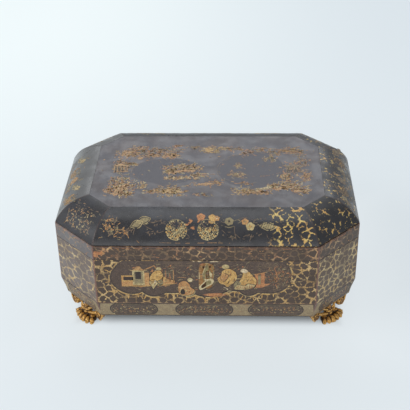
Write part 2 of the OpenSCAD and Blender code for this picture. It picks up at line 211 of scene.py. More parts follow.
def sweep(form, side, loop, first=0.0):
    """Runs a closed outline along one side with mitred, softened ends."""
    place = side_frame(side)
    half = side_length(side) / 2
    stations = [(-1, 22.5), (-1, 15), (-1, 7.5), (-1, 0), (1, 0), (1, 7.5), (1, 15), (1, 22.5)]
    travel = [first]
    for a, b in zip(loop, loop[1:] + loop[:1]):
        travel.append(travel[-1] + math.dist(a[:2], b[:2]))
    rows = []
    for end, degrees in stations:
        bend = math.radians(degrees)
        row = []
        for u, z, _ in loop:
            reach = half - MITRE * u
            x = end * (reach - CORNER * (MITRE - math.sin(bend)))
            row.append((place @ Vector((x, u + CORNER * (1 - math.cos(bend)), z)), x, reach))
        rows.append((form.add([r[0] for r in row]), row))
    count = len(loop)
    for (ids_a, row_a), (ids_b, row_b) in zip(rows, rows[1:]):
        for j in range(count):
            k = (j + 1) % count
            corners = (ids_a[j], ids_b[j], ids_b[k], ids_a[k])
            xs = [(row_a[j], j), (row_b[j], j), (row_b[k], j + 1), (row_a[k], j + 1)]
            places = [(r[1], travel[t]) for r, t in xs]
            ends = [(r[2] + r[1], r[2] - r[1]) for r, _ in xs]
            form.face(corners, loop[j][2], places, ends)
    for ids, row in (rows[0], rows[-1]):
        order = range(count) if ids is rows[0][0] else range(count - 1, -1, -1)
        places = [(loop[j][0], loop[j][1]) for j in order]
        form.face([ids[j] for j in order], 1, places)


def cut(obj, cutters):
    """Takes closed meshes away from an object's mesh."""
    for cutter in cutters:
        tool = obj.modifiers.new("cut", "BOOLEAN")
        tool.operation = "DIFFERENCE"
        tool.solver = "EXACT"
        tool.object = cutter
    bpy.context.view_layer.update()
    with_modifiers(obj)
    for cutter in cutters:
        bpy.data.objects.remove(cutter)
    obj.data.set_sharp_from_angle(angle=math.radians(40))
    return obj


def prism(outline, low, high, place):
    """A closed prism between two heights of a frame, from its outline."""
    form = Form()
    base = form.add([place @ Vector((x, y, low)) for x, y in outline])
    top = form.add([place @ Vector((x, y, high)) for x, y in outline])
    count = len(outline)
    flat = [(0.0, 0.0)] * count
    form.face(list(base)[::-1], 0, flat)
    form.face(list(top), 0, flat)
    for j in range(count):
        k = (j + 1) % count
        form.face((base[j], base[k], top[k], top[j]), 0, flat[:4])
    return form.build("cutter", [])


def circle_points(x, y, r, count=32, start=0.0):
    turns = [start + math.tau * k / count for k in range(count)]
    return [(x + r * math.cos(t), y + r * math.sin(t)) for t in turns]


def spline(a, b, c, d, t):
    """A value between b and c on the smooth curve through four values."""
    square, cube = 2 * a - 5 * b + 4 * c - d, 3 * b - a - 3 * c + d
    return 0.5 * (2 * b + (c - a) * t + square * t**2 + cube * t**3)


def through(points, share):
    """A point of the smooth curve through points of any size, at a share of their steps."""
    spot = share * (len(points) - 1)
    k = min(int(spot), len(points) - 2)
    four = points[max(k - 1, 0)], points[k], points[k + 1], points[min(k + 2, len(points) - 1)]
    return [spline(*values, spot - k) for values in zip(*four)]


# Shaders


def srgb(red, green, blue):
    """A screen colour from 0 to 255 as a linear shader colour."""
    return tuple(
        c / 12.92 if c <= 0.04045 else ((c + 0.055) / 1.055) ** 2.4
        for c in (red / 255, green / 255, blue / 255)
    ) + (1.0,)


class Shade:
    """A node material under construction."""

    def __init__(self, name):
        self.material = bpy.data.materials.new(name)
        self.material.use_nodes = True
        self.tree = self.material.node_tree
        self.tree.nodes.clear()

    def node(self, kind, inputs=None, out=0, **settings):
        made = self.tree.nodes.new(kind)
        for key, value in settings.items():
            setattr(made, key, value)
        for key, value in (inputs or {}).items():
            self.feed(made.inputs[key], value)
        return made.outputs[out]

    def feed(self, socket, value):
        if isinstance(value, bpy.types.NodeSocket):
            self.tree.links.new(value, socket)
        else:
            socket.default_value = value

    def uv(self, title):
        return self.node("ShaderNodeUVMap", uv_map=title)

    def where(self):
        """The object's own coordinates in millimetres."""
        spot = self.node("ShaderNodeTexCoord", out="Object")
        return self.scale(spot, (1000, 1000, 1000))

    def scale(self, vector, by):
        return self.node("ShaderNodeVectorMath", {0: vector, 1: by}, operation="MULTIPLY")

    def add(self, a, b):
        return self.node("ShaderNodeVectorMath", {0: a, 1: b}, operation="ADD")

    def split(self, vector):
        made = self.tree.nodes.new("ShaderNodeSeparateXYZ")
        self.feed(made.inputs[0], vector)
        return made.outputs

    def math(self, operation, a, b=0.0, clamp=False):
        return self.node("ShaderNodeMath", {0: a, 1: b}, operation=operation, use_clamp=clamp)

    def noise(self, vector, size, detail=3.0, rough=0.55, colour=False, dims="3D"):
        return self.node(
            "ShaderNodeTexNoise",
            {"Vector": vector, "Scale": 1 / size, "Detail": detail, "Roughness": rough},
            out="Color" if colour else "Fac",
            noise_dimensions=dims,
        )

    def cells(self, vector, feature="F1", loose=0.9, dims="2D"):
        return self.node(
            "ShaderNodeTexVoronoi",
            {"Vector": vector, "Scale": 1.0, "Randomness": loose},
            out="Distance",
            feature=feature,
            voronoi_dimensions=dims,
        )

    def step(self, value, low, high, to=(0.0, 1.0)):
        """A smooth step, rising from low to high."""
        inputs = {"Value": value, 1: low, 2: high, 3: to[0], 4: to[1]}
        return self.node("ShaderNodeMapRange", inputs, interpolation_type="SMOOTHSTEP")

    def mix(self, share, a, b, blend="MIX"):
        made = self.tree.nodes.new("ShaderNodeMix")
        made.data_type = "RGBA"
        made.blend_type = blend
        self.feed(made.inputs[0], share)
        self.feed(made.inputs[6], a)
        self.feed(made.inputs[7], b)
        return made.outputs[2]

    def bump(self, height, depth, below=None):
        """A bump of the given depth in millimetres."""
        inputs = {"Height": height, "Strength": 1.0, "Distance": depth * MM}
        if below is not None:
            inputs["Normal"] = below
        return self.node("ShaderNodeBump", inputs)

    def finish(self, **inputs):
        made = self.tree.nodes.new("ShaderNodeBsdfPrincipled")
        for key, value in inputs.items():
            self.feed(made.inputs[key.replace("_", " ")], value)
        out = self.tree.nodes.new("ShaderNodeOutputMaterial")
        self.tree.links.new(made.outputs[0], out.inputs[0])
        return self.material


def drawn_apart(shade, place, wander, size):
    """Coordinates pushed about by noise, so that what is drawn on them looks made by hand."""
    drift = shade.noise(place, size, 2, colour=True, dims="2D")
    drift = shade.node("ShaderNodeVectorMath", {0: drift, 1: (0.5, 0.5, 0.5)}, operation="SUBTRACT")
    return shade.add(place, shade.scale(drift, (wander, wander, 0)))


def web(shade, place, cell, line=0.42, rounding=0.5, offset=(0, 0)):
    """A hand-drawn net round dark lobed cells, thicker where its lines meet; 1 is gold."""
    place = shade.add(place, (offset[0], offset[1], 0))
    bent = drawn_apart(shade, place, 2.6, 9)
    grid = shade.scale(bent, (1 / cell[0], 1 / cell[1], 0))
    size = (cell[0] + cell[1]) / 2
    edge = shade.math("MULTIPLY", shade.cells(grid, "DISTANCE_TO_EDGE"), size)
    middle = shade.math("MULTIPLY", shade.cells(grid), size)
    far = shade.math("MAXIMUM", shade.math("SUBTRACT", middle, size * 0.4), 0.0)
    edge = shade.math("SUBTRACT", edge, shade.math("MULTIPLY", far, rounding))
    lobes = shade.step(shade.noise(place, 2.1, 2, 0.5, dims="2D"), 0.32, 0.68, (-0.55, 0.5))
    edge = shade.math("ADD", edge, lobes)
    swell = shade.step(shade.noise(place, 7, 2, dims="2D"), 0.3, 0.7, (line * 0.5, line * 1.6))
    return shade.math("SUBTRACT", 1.0, shade.step(shade.math("SUBTRACT", edge, swell), -0.16, 0.16))


def lacquer(name, grounds, gilt=None, net=None, rough=0.36, worn=(), rails=None, shine=0.5, low=None):
    """Old lacquer: clouded ground, optional gold net, worn arrises and a soft uneven sheen; low darkens
    the ground towards one edge, which on the top is painted shade.
    """
    shade = Shade(name)
    place = shade.uv("place")
    cloud = shade.step(shade.noise(place, 38, 4, 0.6, dims="2D"), 0.34, 0.66)
    colour = shade.mix(cloud, srgb(*grounds[0]), srgb(*grounds[1]))
    grain = shade.noise(place, 1.1, 3, 0.7, dims="2D")
    colour = shade.mix(shade.step(grain, 0.5, 0.85, (0, 0.55)), colour, srgb(*grounds[2]))
    smoke = shade.noise(shade.scale(place, (0.25, 1, 1)), 2.4, 4, 0.6, dims="2D")
    colour = shade.mix(shade.step(smoke, 0.5, 0.8, (0, 0.35)), colour, srgb(*grounds[3]))
    # Darker towards one edge across the side; on the top this is painted shade towards the front, which
    # leaves the back edge lighter as a painted sheen
    if low:
        dusk = shade.step(shade.split(place)[1], low[0], low[1], (low[2], 0))
        colour = shade.mix(dusk, colour, srgb(26, 25, 28))
    height = shade.math("MULTIPLY", grain, 0.05)
    if net:
        kept = shade.noise(place, net["patch"], 5, 0.68, dims="2D")
        kept = shade.step(kept, net["lost"], net["lost"] + net["fade"], (net["dim"], 1.0))
        breaks = shade.noise(shade.add(place, (17, 5, 0)), 3.0, 3, 0.6, dims="2D")
        kept = shade.math("MULTIPLY", kept, shade.step(breaks, net["breaks"], net["breaks"] + 0.06))
        if net.get("mask"):
            kept = shade.math("MULTIPLY", kept, net["mask"](shade, place))
        lines = web(shade, place, net["cell"], net["line"], net["round"], net.get("offset", (0, 0)))
        lines = shade.math("MULTIPLY", lines, kept)
        hue = shade.step(shade.noise(place, 14, 3, dims="2D"), 0.35, 0.65)
        gold = shade.mix(hue, srgb(*gilt[0]), srgb(*gilt[1]))
        fleck = shade.step(shade.noise(place, 2.2, 3, 0.65, dims="2D"), 0.45, 0.75, (0, 0.6))
        gold = shade.mix(fleck, gold, srgb(*gilt[2]))
        colour = shade.mix(shade.math("MULTIPLY", lines, net.get("strength", 1.0)), colour, gold)
        height = shade.math("ADD", height, shade.math("MULTIPLY", lines, 0.6))
    near = shade.split(shade.uv("ends"))
    near = shade.math("MINIMUM", near[0], near[1])
    ragged = shade.noise(place, 3.2, 4, 0.7, dims="2D")
    rub = shade.math("SUBTRACT", near, shade.math("MULTIPLY", ragged, 2.6))
    rub = shade.math("SUBTRACT", 1.0, shade.step(rub, -0.7, 0.35))
    if rails:
        across = shade.split(place)[1]
        top = shade.math("SUBTRACT", rails[1], across)
        edge = shade.math("MINIMUM", shade.math("SUBTRACT", across, rails[0]), top)
        edge = shade.math("ABSOLUTE", edge)
        edge = shade.math("SUBTRACT", edge, shade.math("MULTIPLY", ragged, 1.5))
        edge = shade.math("SUBTRACT", 1.0, shade.step(edge, -0.45, 0.2))
        rub = shade.math("MAXIMUM", rub, shade.math("MULTIPLY", edge, 0.55))
    tone = shade.mix(shade.step(grain, 0.35, 0.7), srgb(*worn[0]), srgb(*worn[1]))
    colour = shade.mix(shade.math("MULTIPLY", rub, 0.85), colour, tone)
    dust = shade.step(shade.noise(place, 0.8, 2, 0.5, dims="2D"), 0.74, 0.8, (0, 0.5))
    colour = shade.mix(dust, colour, srgb(176, 170, 168))
    smear = shade.noise(shade.add(place, (70, 30, 0)), 22, 5, 0.65, dims="2D")
    gloss = shade.step(smear, 0.3, 0.7, (rough - 0.08, rough + 0.12))
    height = shade.math("SUBTRACT", height, shade.math("MULTIPLY", rub, 0.3))
    return shade.finish(
        Base_Color=colour,
        Roughness=gloss,
        Normal=shade.bump(height, 0.12),
        Specular_IOR_Level=shine,
    )


def paint(name, tones, wear=0.0, rough=0.46):
    """Brushed gold or colour on the lacquer, mottled, and rubbed through to the ground with wear."""
    shade = Shade(name)
    place = shade.uv("place")
    broad = shade.step(shade.noise(place, 5, 4, 0.6, dims="2D"), 0.38, 0.62)
    colour = shade.mix(broad, srgb(*tones[0]), srgb(*tones[1]))
    thin = shade.noise(place, 1.7, 4, 0.7, dims="2D")
    colour = shade.mix(shade.step(thin, 0.5, 0.66, (0, 0.8)), colour, srgb(*tones[2]))
    lost = shade.noise(shade.add(place, (40, 90, 0)), 2.6, 5, 0.75, dims="2D")
    lost = shade.step(lost, 0.64 - 0.2 * wear, 0.7 - 0.2 * wear, (0, 0.9))
    colour = shade.mix(lost, colour, srgb(82, 70, 66))
    return shade.finish(
        Base_Color=colour,
        Roughness=shade.step(thin, 0.3, 0.7, (rough - 0.08, rough + 0.15)),
        Normal=shade.bump(thin, 0.06),
    )


def brass(name, tones, rough=0.42):
    """Old brass: tarnished in clouds, with fine scratches."""
    shade = Shade(name)
    place = shade.where()
    cloud = shade.step(shade.noise(place, 4.5, 4, 0.65), 0.35, 0.65)
    colour = shade.mix(cloud, srgb(*tones[0]), srgb(*tones[1]))
    fine = shade.noise(shade.scale(place, (0.3, 1, 1)), 0.7, 3, 0.7)
    colour = shade.mix(shade.step(fine, 0.48, 0.7, (0, 0.6)), colour, srgb(*tones[2]))
    return shade.finish(
        Base_Color=colour,
        Metallic=0.6,
        Roughness=shade.step(fine, 0.3, 0.7, (rough - 0.08, rough + 0.16)),
        Normal=shade.bump(fine, 0.05),
    )


WORN = ((104, 70, 62), (144, 108, 92))
DULL = ((50, 42, 42), (80, 66, 62))
BODY_TONES = ((70, 55, 44), (78, 63, 54), (106, 86, 68), (98, 72, 54))
LID_TONES = ((46, 44, 46), (54, 54, 59), (80, 78, 80), (60, 52, 50))
# The top's tones are lighter than its own dark lacquer, as a painted sheen
SHEENED_TOP_TONES = ((84, 77, 79), (81, 79, 85), (105, 100, 102), (97, 82, 83))
GILT = ((206, 174, 120), (188, 150, 94), (128, 98, 62))
PALE_GILT = ((214, 190, 140), (196, 164, 112), (128, 106, 72))


def right_third(shade, place):
    """Where the gold net is left on the front of the dome."""
    along = shade.split(drawn_apart(shade, place, 26, 20))[0]
    return shade.step(along, 72, 80)


def looks():
    """All lacquer and paint materials by name."""
    made = {}
    net = {
        "cell": (9.2, 8.6), "line": 0.42, "round": 0.5, "patch": 24,
        "lost": 0.38, "fade": 0.2, "dim": 0.3, "breaks": 0.36,
    }
    made["wall"] = lacquer("lacquer_wall", BODY_TONES, GILT, net, worn=WORN, rails=(0, 200))
    cant = dict(net, cell=(8.6, 7.8), lost=0.36, line=0.46, offset=(40, 11))
    wide = dict(net, cell=(11.6, 9.2), lost=0.4, line=0.16, offset=(14, 31))
    tones = ((94, 76, 62), (100, 84, 72), (128, 110, 92), (110, 86, 68))
    made["cant"] = lacquer("lacquer_cant", tones, PALE_GILT, cant, worn=WORN, rails=(0, 200))
    # Lighter, greyer lacquer with a thin net for the left canted walls, as a painted sheen
    grey = ((106, 92, 83), (114, 102, 96), (140, 126, 117), (120, 102, 90))
    made["cant_painted_sheen"] = lacquer("lacquer_cant_painted_sheen", grey, PALE_GILT, wide, worn=WORN, rails=(0, 200))
    rim = dict(net, cell=(9.4, 8.4), lost=0.47, line=0.3, dim=0.2, offset=(5, 3))
    gilt = ((182, 136, 98), (192, 158, 112), (116, 86, 66))
    made["rim"] = lacquer("lacquer_rim", BODY_TONES, gilt, rim, worn=WORN, rails=(-200, 18.3))
    # The same painted sheen on the left canted rims: lighter, greyer tones and a fainter net
    grey = ((98, 92, 92), (104, 100, 100), (124, 116, 114), (108, 98, 94))
    faint = dict(rim, strength=0.45)
    made["rim_painted_sheen"] = lacquer("lacquer_rim_painted_sheen", grey, gilt, faint, worn=WORN, rails=(-200, 18.3))
    dome = dict(
        net, cell=(8.4, 7.8), patch=11, lost=0.45, fade=0.06, dim=0.0, line=0.5, mask=right_third
    )
    gilt = ((214, 186, 112), (204, 160, 92), (146, 112, 60))
    # The front of the dome is darker towards its foot
    made["dome_front"] = lacquer(
        "lacquer_dome_front", LID_TONES, gilt, dome, 0.3, DULL, low=(0, 24, 0.4)
    )
    broken = dict(dome, cell=(8, 7.4), lost=0.5, line=0.34, breaks=0.42, mask=None)
    made["dome"] = lacquer("lacquer_dome", LID_TONES, gilt, broken, 0.32, DULL)
    made["dome_plain"] = lacquer("lacquer_dome_plain", LID_TONES, rough=0.34, worn=DULL)
    # A darker copy of the dome's lacquer, as painted shade on the front-right side
    deep = tuple(tuple(0.8 * c for c in tone) for tone in LID_TONES)
    made["dome_painted_shade"] = lacquer("lacquer_dome_painted_shade", deep, gilt, broken, 0.36, DULL)
    # A lighter, greyer copy of the dome's lacquer, as a painted sheen on the left and back-left sides
    silver = ((92, 91, 91), (104, 104, 104), (132, 130, 127), (106, 100, 92))
    made["dome_painted_sheen"] = lacquer("lacquer_dome_painted_sheen", silver, rough=0.34, worn=DULL)
    made["base"] = lacquer("lacquer_base", BODY_TONES, worn=WORN, rails=(0, 25.4))
    # The top is darker towards its front: painted shade, with the lighter back as a painted sheen
    made["top"] = lacquer(
        "lacquer_top", SHEENED_TOP_TONES, rough=0.36, worn=((84, 80, 84), (104, 100, 102)), low=(-115, 70, 0.17)
    )
    inner = ((40, 34, 36), (48, 40, 40), (62, 54, 54), (70, 48, 44))
    made["inside"] = lacquer("lacquer_inside", inner, rough=0.4, worn=((60, 46, 42), (80, 60, 52)))
    paints = {
        "gold": ((210, 170, 104), (190, 146, 82), (138, 104, 62)),
        "pale": ((204, 184, 134), (182, 160, 112), (130, 110, 76)),
        "tan": ((198, 152, 98), (180, 130, 80), (134, 98, 64)),
        "rust": ((194, 134, 86), (170, 112, 72), (120, 82, 58)),
        "olive": ((150, 136, 100), (138, 124, 92), (108, 96, 72)),
        "cream": ((222, 202, 166), (204, 182, 146), (156, 132, 104)),
        "ink": ((44, 35, 31), (52, 41, 37), (72, 58, 50)),
        "plate": ((74, 59, 50), (82, 67, 59), (108, 87, 72)),
        "faint": ((128, 107, 84), (114, 94, 76), (90, 76, 66)),
        "band": ((164, 144, 110), (150, 130, 100), (122, 102, 80)),
        "dusk": ((77, 75, 82), (80, 78, 84), (96, 92, 95)),
    }
    for name, tones in paints.items():
        kept = name in ("band", "dusk", "plate", "ink")
        made[name] = paint(f"paint_{name}", tones, -0.2 if kept else 0.15)
        pale = [tuple(0.8 * c + 0.2 * g for c, g in zip(tone, (158, 148, 134))) for tone in tones]
        made[f"{name}_worn"] = paint(f"worn_{name}", tones if kept else pale, -0.2 if kept else 0.5)
    made["brass_warm"] = brass("brass_warm", ((182, 138, 90), (150, 108, 66), (104, 78, 48)))
    made["brass_green"] = brass("brass_green", ((166, 152, 112), (136, 122, 86), (96, 82, 54)))
    # Painted highlight: pale brass for the lit edges, the cheek and the leaf of the key plate
    made["brass_painted_highlight"] = brass("brass_painted_highlight", ((222, 204, 166), (196, 176, 130), (150, 130, 92)))
    # Painted shade: dark brass for the eyes, the keyhole's lining, the leaf's lower part and the lock
    # case behind the keyhole
    made["brass_painted_shade"] = brass("brass_painted_shade", ((64, 42, 24), (84, 56, 34), (50, 32, 20)))
    return made


LOOK = looks()
PAINTS = (
    "gold", "pale", "tan", "rust", "olive", "cream", "ink", "plate", "faint", "band", "dusk",
    "brass_warm", "brass_green", "brass_painted_highlight", "brass_painted_shade",
)

# The dome's look on each side, from the front; the darker and lighter copies are painted shade and
# painted sheen
DOME_LOOKS = (
    "dome_front", "dome_painted_shade", "dome", "dome", "dome_plain", "dome_painted_sheen", "dome_painted_sheen", "dome_plain"
)

# The boards


def wall_outline():
    """A wall board's section: inset, height and surface of each corner."""
    low, high, inner = Z_WALL, Z_BODY, WALL_T
    outline = [(SKIN, low, 0), (SKIN, high, 1), (inner, high, 1), (inner, low, 1)]
    return soften(outline, (0, ARRIS, ARRIS, 0))


def rim_outline():
    """A rim board's section, as wall_outline."""
    low, high, inner = Z_LID, Z_RIM - 0.05, WALL_T
    outline = [(SKIN, low, 0), (SKIN, high, 0), (inner, high, 1), (inner, low, 1)]
    return soften(outline, (ARRIS, ARRIS, 0, ARRIS))


def base_outline():
    """A base moulding's section, with its sloping face."""
    lean = SKIN / math.cos(math.atan2(BASE_IN, Z_WALL - Z_FOOT))
    outline = [
        (BASE_IN + lean, Z_FOOT, 0),
        (lean, Z_WALL, 1),
        (BASE_DEEP, Z_WALL, 1),
        (BASE_DEEP, Z_FOOT, 1),
    ]
    return soften(outline, (ARRIS, 0, 0, 0))


def dome_angle(rise):
    """The angle of the point of the dome's curve at a height above the rim."""
    return math.asin((Z_RIM + rise - DOME_CZ) / DOME_R)


DOME_START = dome_angle(GROOVE_H)
DOME_END = math.atan2(Z_TOP - DOME_CZ, DOME_CU - DOME_IN)


def dome_point(along, lift):
    """Inset and height at a distance up the dome's curve, lifted off the lacquer."""
    angle = DOME_START + along / DOME_R
    r = DOME_R - SKIN + lift
    return DOME_CU - r * math.cos(angle), DOME_CZ + r * math.sin(angle)


def dome_outline():
    """A curved lid board's section: the arc outside and two steps inside."""
    length = (DOME_END - DOME_START) * DOME_R
    steps = 28
    arc = [dome_point(length * k / steps, 0) + (0,) for k in range(steps + 1)]
    arc[-1] = (DOME_IN, Z_TOP - SKIN, 1)
    inner = [
        (DOME_IN, Z_TOP - TOP_T, 1),
        (WALL_T, Z_RIM, 1),
        (GROOVE_IN, Z_RIM, 0),
        (GROOVE_IN, Z_RIM + GROOVE_H, 0),
    ]
    return arc + inner


def hinge_cutters(lid):
    """The room for the hinges and the bevel behind their axis."""
    level = Z_LID if lid else Z_BODY
    sign = 1 if lid else -1
    cutters = []
    for hand in ("left", "right"):
        low = corner(f"hinge_{'lid' if lid else 'body'}_leaf_{hand}", 0)
        high = corner(f"hinge_{'lid' if lid else 'body'}_leaf_{hand}", 1)
        x0, x1 = low.x - LEAF_SLACK, high.x + LEAF_SLACK
        inner, outer = HALF_D - WALL_T - 1, HALF_D - HINGE_IN
        leaf = [(x0, inner), (x1, inner), (x1, outer), (x0, outer)]
        deep = sorted((level - sign, level + sign * LEAF_DEEP))
        cutters.append(prism(leaf, *deep, Matrix.Identity(4)))
        turned = Matrix.Translation((x0 - 1, outer, Z_SEAM)) @ Matrix.Rotation(math.pi / 2, 4, "Y")
        cutters.append(prism(circle_points(0, 0, BARREL_R, 40), 0, x1 - x0 + 2, turned))
    return cutters


def bevel_cutter(lid):
    """The wedge behind the hinge axis that lets the lid open."""
    sign = 1 if lid else -1
    reach = HINGE_IN + 2
    drop = reach * math.tan(STOP_BEVEL)
    outline = [(0, 0), (-reach, sign * drop), (-reach, -sign * 2), (0, -sign * 2)]
    if not lid:
        outline = outline[::-1]
    place = side_frame(BACK) @ Matrix.Translation((0, HINGE_IN + BEVEL_ROOM, Z_SEAM))
    turned = place @ Matrix(((0, 0, 1, 0), (1, 0, 0, 0), (0, 1, 0, 0), (0, 0, 0, 1)))
    return prism(outline, -2 * HALF_W, 2 * HALF_W, turned)


def lock_cutters():
    """The mortise for the lock, open at the back, and the opening for the escutcheon."""
    low, high = corner("lock_case", 0), corner("lock_case", 1)
    plate_high = corner("escutcheon", 1)
    x0, x1 = low.x + LOCK_EAR - FIT, high.x - LOCK_EAR + FIT
    outer, inner = low.y - FIT, -HALF_D + WALL_T + 1
    room = [(x0, outer), (x1, outer), (x1, inner), (x0, inner)]
    cutters = [prism(room, low.z - FIT, Z_BODY + 1, Matrix.Identity(4))]
    turned = Matrix.Translation((0, plate_high.y + FIT, 0)) @ Matrix.Rotation(math.pi / 2, 4, "X")
    outline = escutcheon_outline(-0.03)
    cutters.append(prism(outline, 0, 3, turned))
    return cutters


def escutcheon_outline(inset, steps=24):
    """The plate's outline seen from the front: two arcs and their common tangents."""
    low, high = corner("escutcheon", 0), corner("escutcheon", 1)
    x = (low.x + high.x) / 2
    r_top = (high.x - low.x) / 2
    r_foot = PLATE_FOOT_R
    z_top = high.z - r_top
    z_foot = low.z + r_foot
    lean = math.asin((r_top - r_foot) / (z_top - z_foot))
    points = []
    for k in range(steps + 1):
        a = -lean + (math.pi + 2 * lean) * k / steps
        points.append((x + (r_top - inset) * math.cos(a), z_top + (r_top - inset) * math.sin(a)))
    for k in range(steps + 1):
        a = math.pi + lean + (math.pi - 2 * lean) * k / steps
        points.append((x + (r_foot - inset) * math.cos(a), z_foot + (r_foot - inset) * math.sin(a)))
    return points


def boards():
    """The wall, base, rim and dome board of each side, cut for the hinges and the lock."""
    for side, name in enumerate(SIDES):
        plain = side % 2 == 0
        left = side > BACK
        # The left canted walls and rims take the lacquer with painted sheen
        wall = "wall" if plain else "cant_painted_sheen" if left else "cant"
        rim = "rim_painted_sheen" if left and not plain else "rim"
        for part, outline, body, slot, look in (
            ("wall", wall_outline(), "case", "lacquer_body", wall),
            ("base", base_outline(), "case", "lacquer_base", "base"),
            ("rim", rim_outline(), "lid", "lacquer_lid", rim),
            ("dome", dome_outline(), "lid", "lacquer_lid", DOME_LOOKS[side]),
        ):
            form = Form()
            sweep(form, side, outline)
            board = form.build(f"{part}_board_{name}", [LOOK[look], LOOK["inside"]])
            near_back = abs(side - BACK) <= 1
            if part in ("wall", "rim") and near_back:
                cutters = [bevel_cutter(part == "rim")]
                if side == BACK:
                    cutters += hinge_cutters(part == "rim")
                cut(board, cutters)
            if part == "wall" and side == FRONT:
                cut(board, lock_cutters())
            settle(board, body, slot, f"{part}_{name}")


def octagon(inset):
    """The box's plan, drawn in by the same distance on every side."""
    w, d = HALF_W - inset, HALF_D - inset
    c = CANT - inset * (2 - math.sqrt(2))
    return [
        (w - c, -d), (w, -d + c), (w, d - c), (w - c, d),
        (-w + c, d), (-w, d - c), (-w, -d + c), (-w + c, -d),
    ]


def top_board():
    """The flat panel that the dome's boards frame."""
    form = Form()
    levels = ((DOME_IN, Z_TOP - TOP_T), (DOME_IN, Z_TOP - SKIN - 0.3), (DOME_IN + 0.3, Z_TOP - SKIN))
    rings = [form.add([(x, y, z) for x, y in octagon(inset)]) for inset, z in levels]
    for a, b in zip(rings, rings[1:]):
        for j in range(8):
            k = (j + 1) % 8
            ids = (a[j], a[k], b[k], b[j])
            form.face(ids, 0, [form.points[n][:2] for n in ids])
    form.face(list(rings[0])[::-1], 1, [form.points[n][:2] for n in rings[0]][::-1])
    form.face(list(rings[-1]), 0, [form.points[n][:2] for n in rings[-1]])
    board = form.build("top_board", [LOOK["top"], LOOK["inside"]])
    settle(board, "lid", "lacquer_lid", "top_panel")


boards()
top_board()

# Raised gilding

GOLD, PALE, TAN, RUST, OLIVE, CREAM, INK, PLATE = range(8)
FAINT, BAND, DUSK, WARM, VERDIGRIS, PAINTED_HIGHLIGHT, SHADOW = range(8, len(PAINTS))
BURIED = -0.1  # how far the foot of a raised shape lies under the lacquer
BASE_RUN = math.hypot(BASE_IN, Z_WALL - Z_FOOT)
WALL_H = Z_BODY - Z_WALL
# where the back wall's bevel starts
BEVEL_FOOT = WALL_H - (HINGE_IN + BEVEL_ROOM) * math.tan(STOP_BEVEL)


def on_wall(side, level=Z_WALL):
    place = side_frame(side)
    return lambda x, v, h: place @ Vector((x, SKIN - h, level + v))


def on_base(side):
    place = side_frame(side)
    rise = Vector((0, -BASE_IN, Z_WALL - Z_FOOT)) / BASE_RUN
    out = Vector((0, -rise.z, rise.y))
    foot = Vector((0, BASE_IN, Z_FOOT))
    return lambda x, v, h: place @ (foot + rise * v + out * (h - SKIN) + Vector((x, 0, 0)))


def on_dome(side):
    place = side_frame(side)
    return lambda x, v, h: place @ Vector((x, *dome_point(v, h)))


def on_top(x, v, h):
    return Vector((x, v, Z_TOP - SKIN + h))


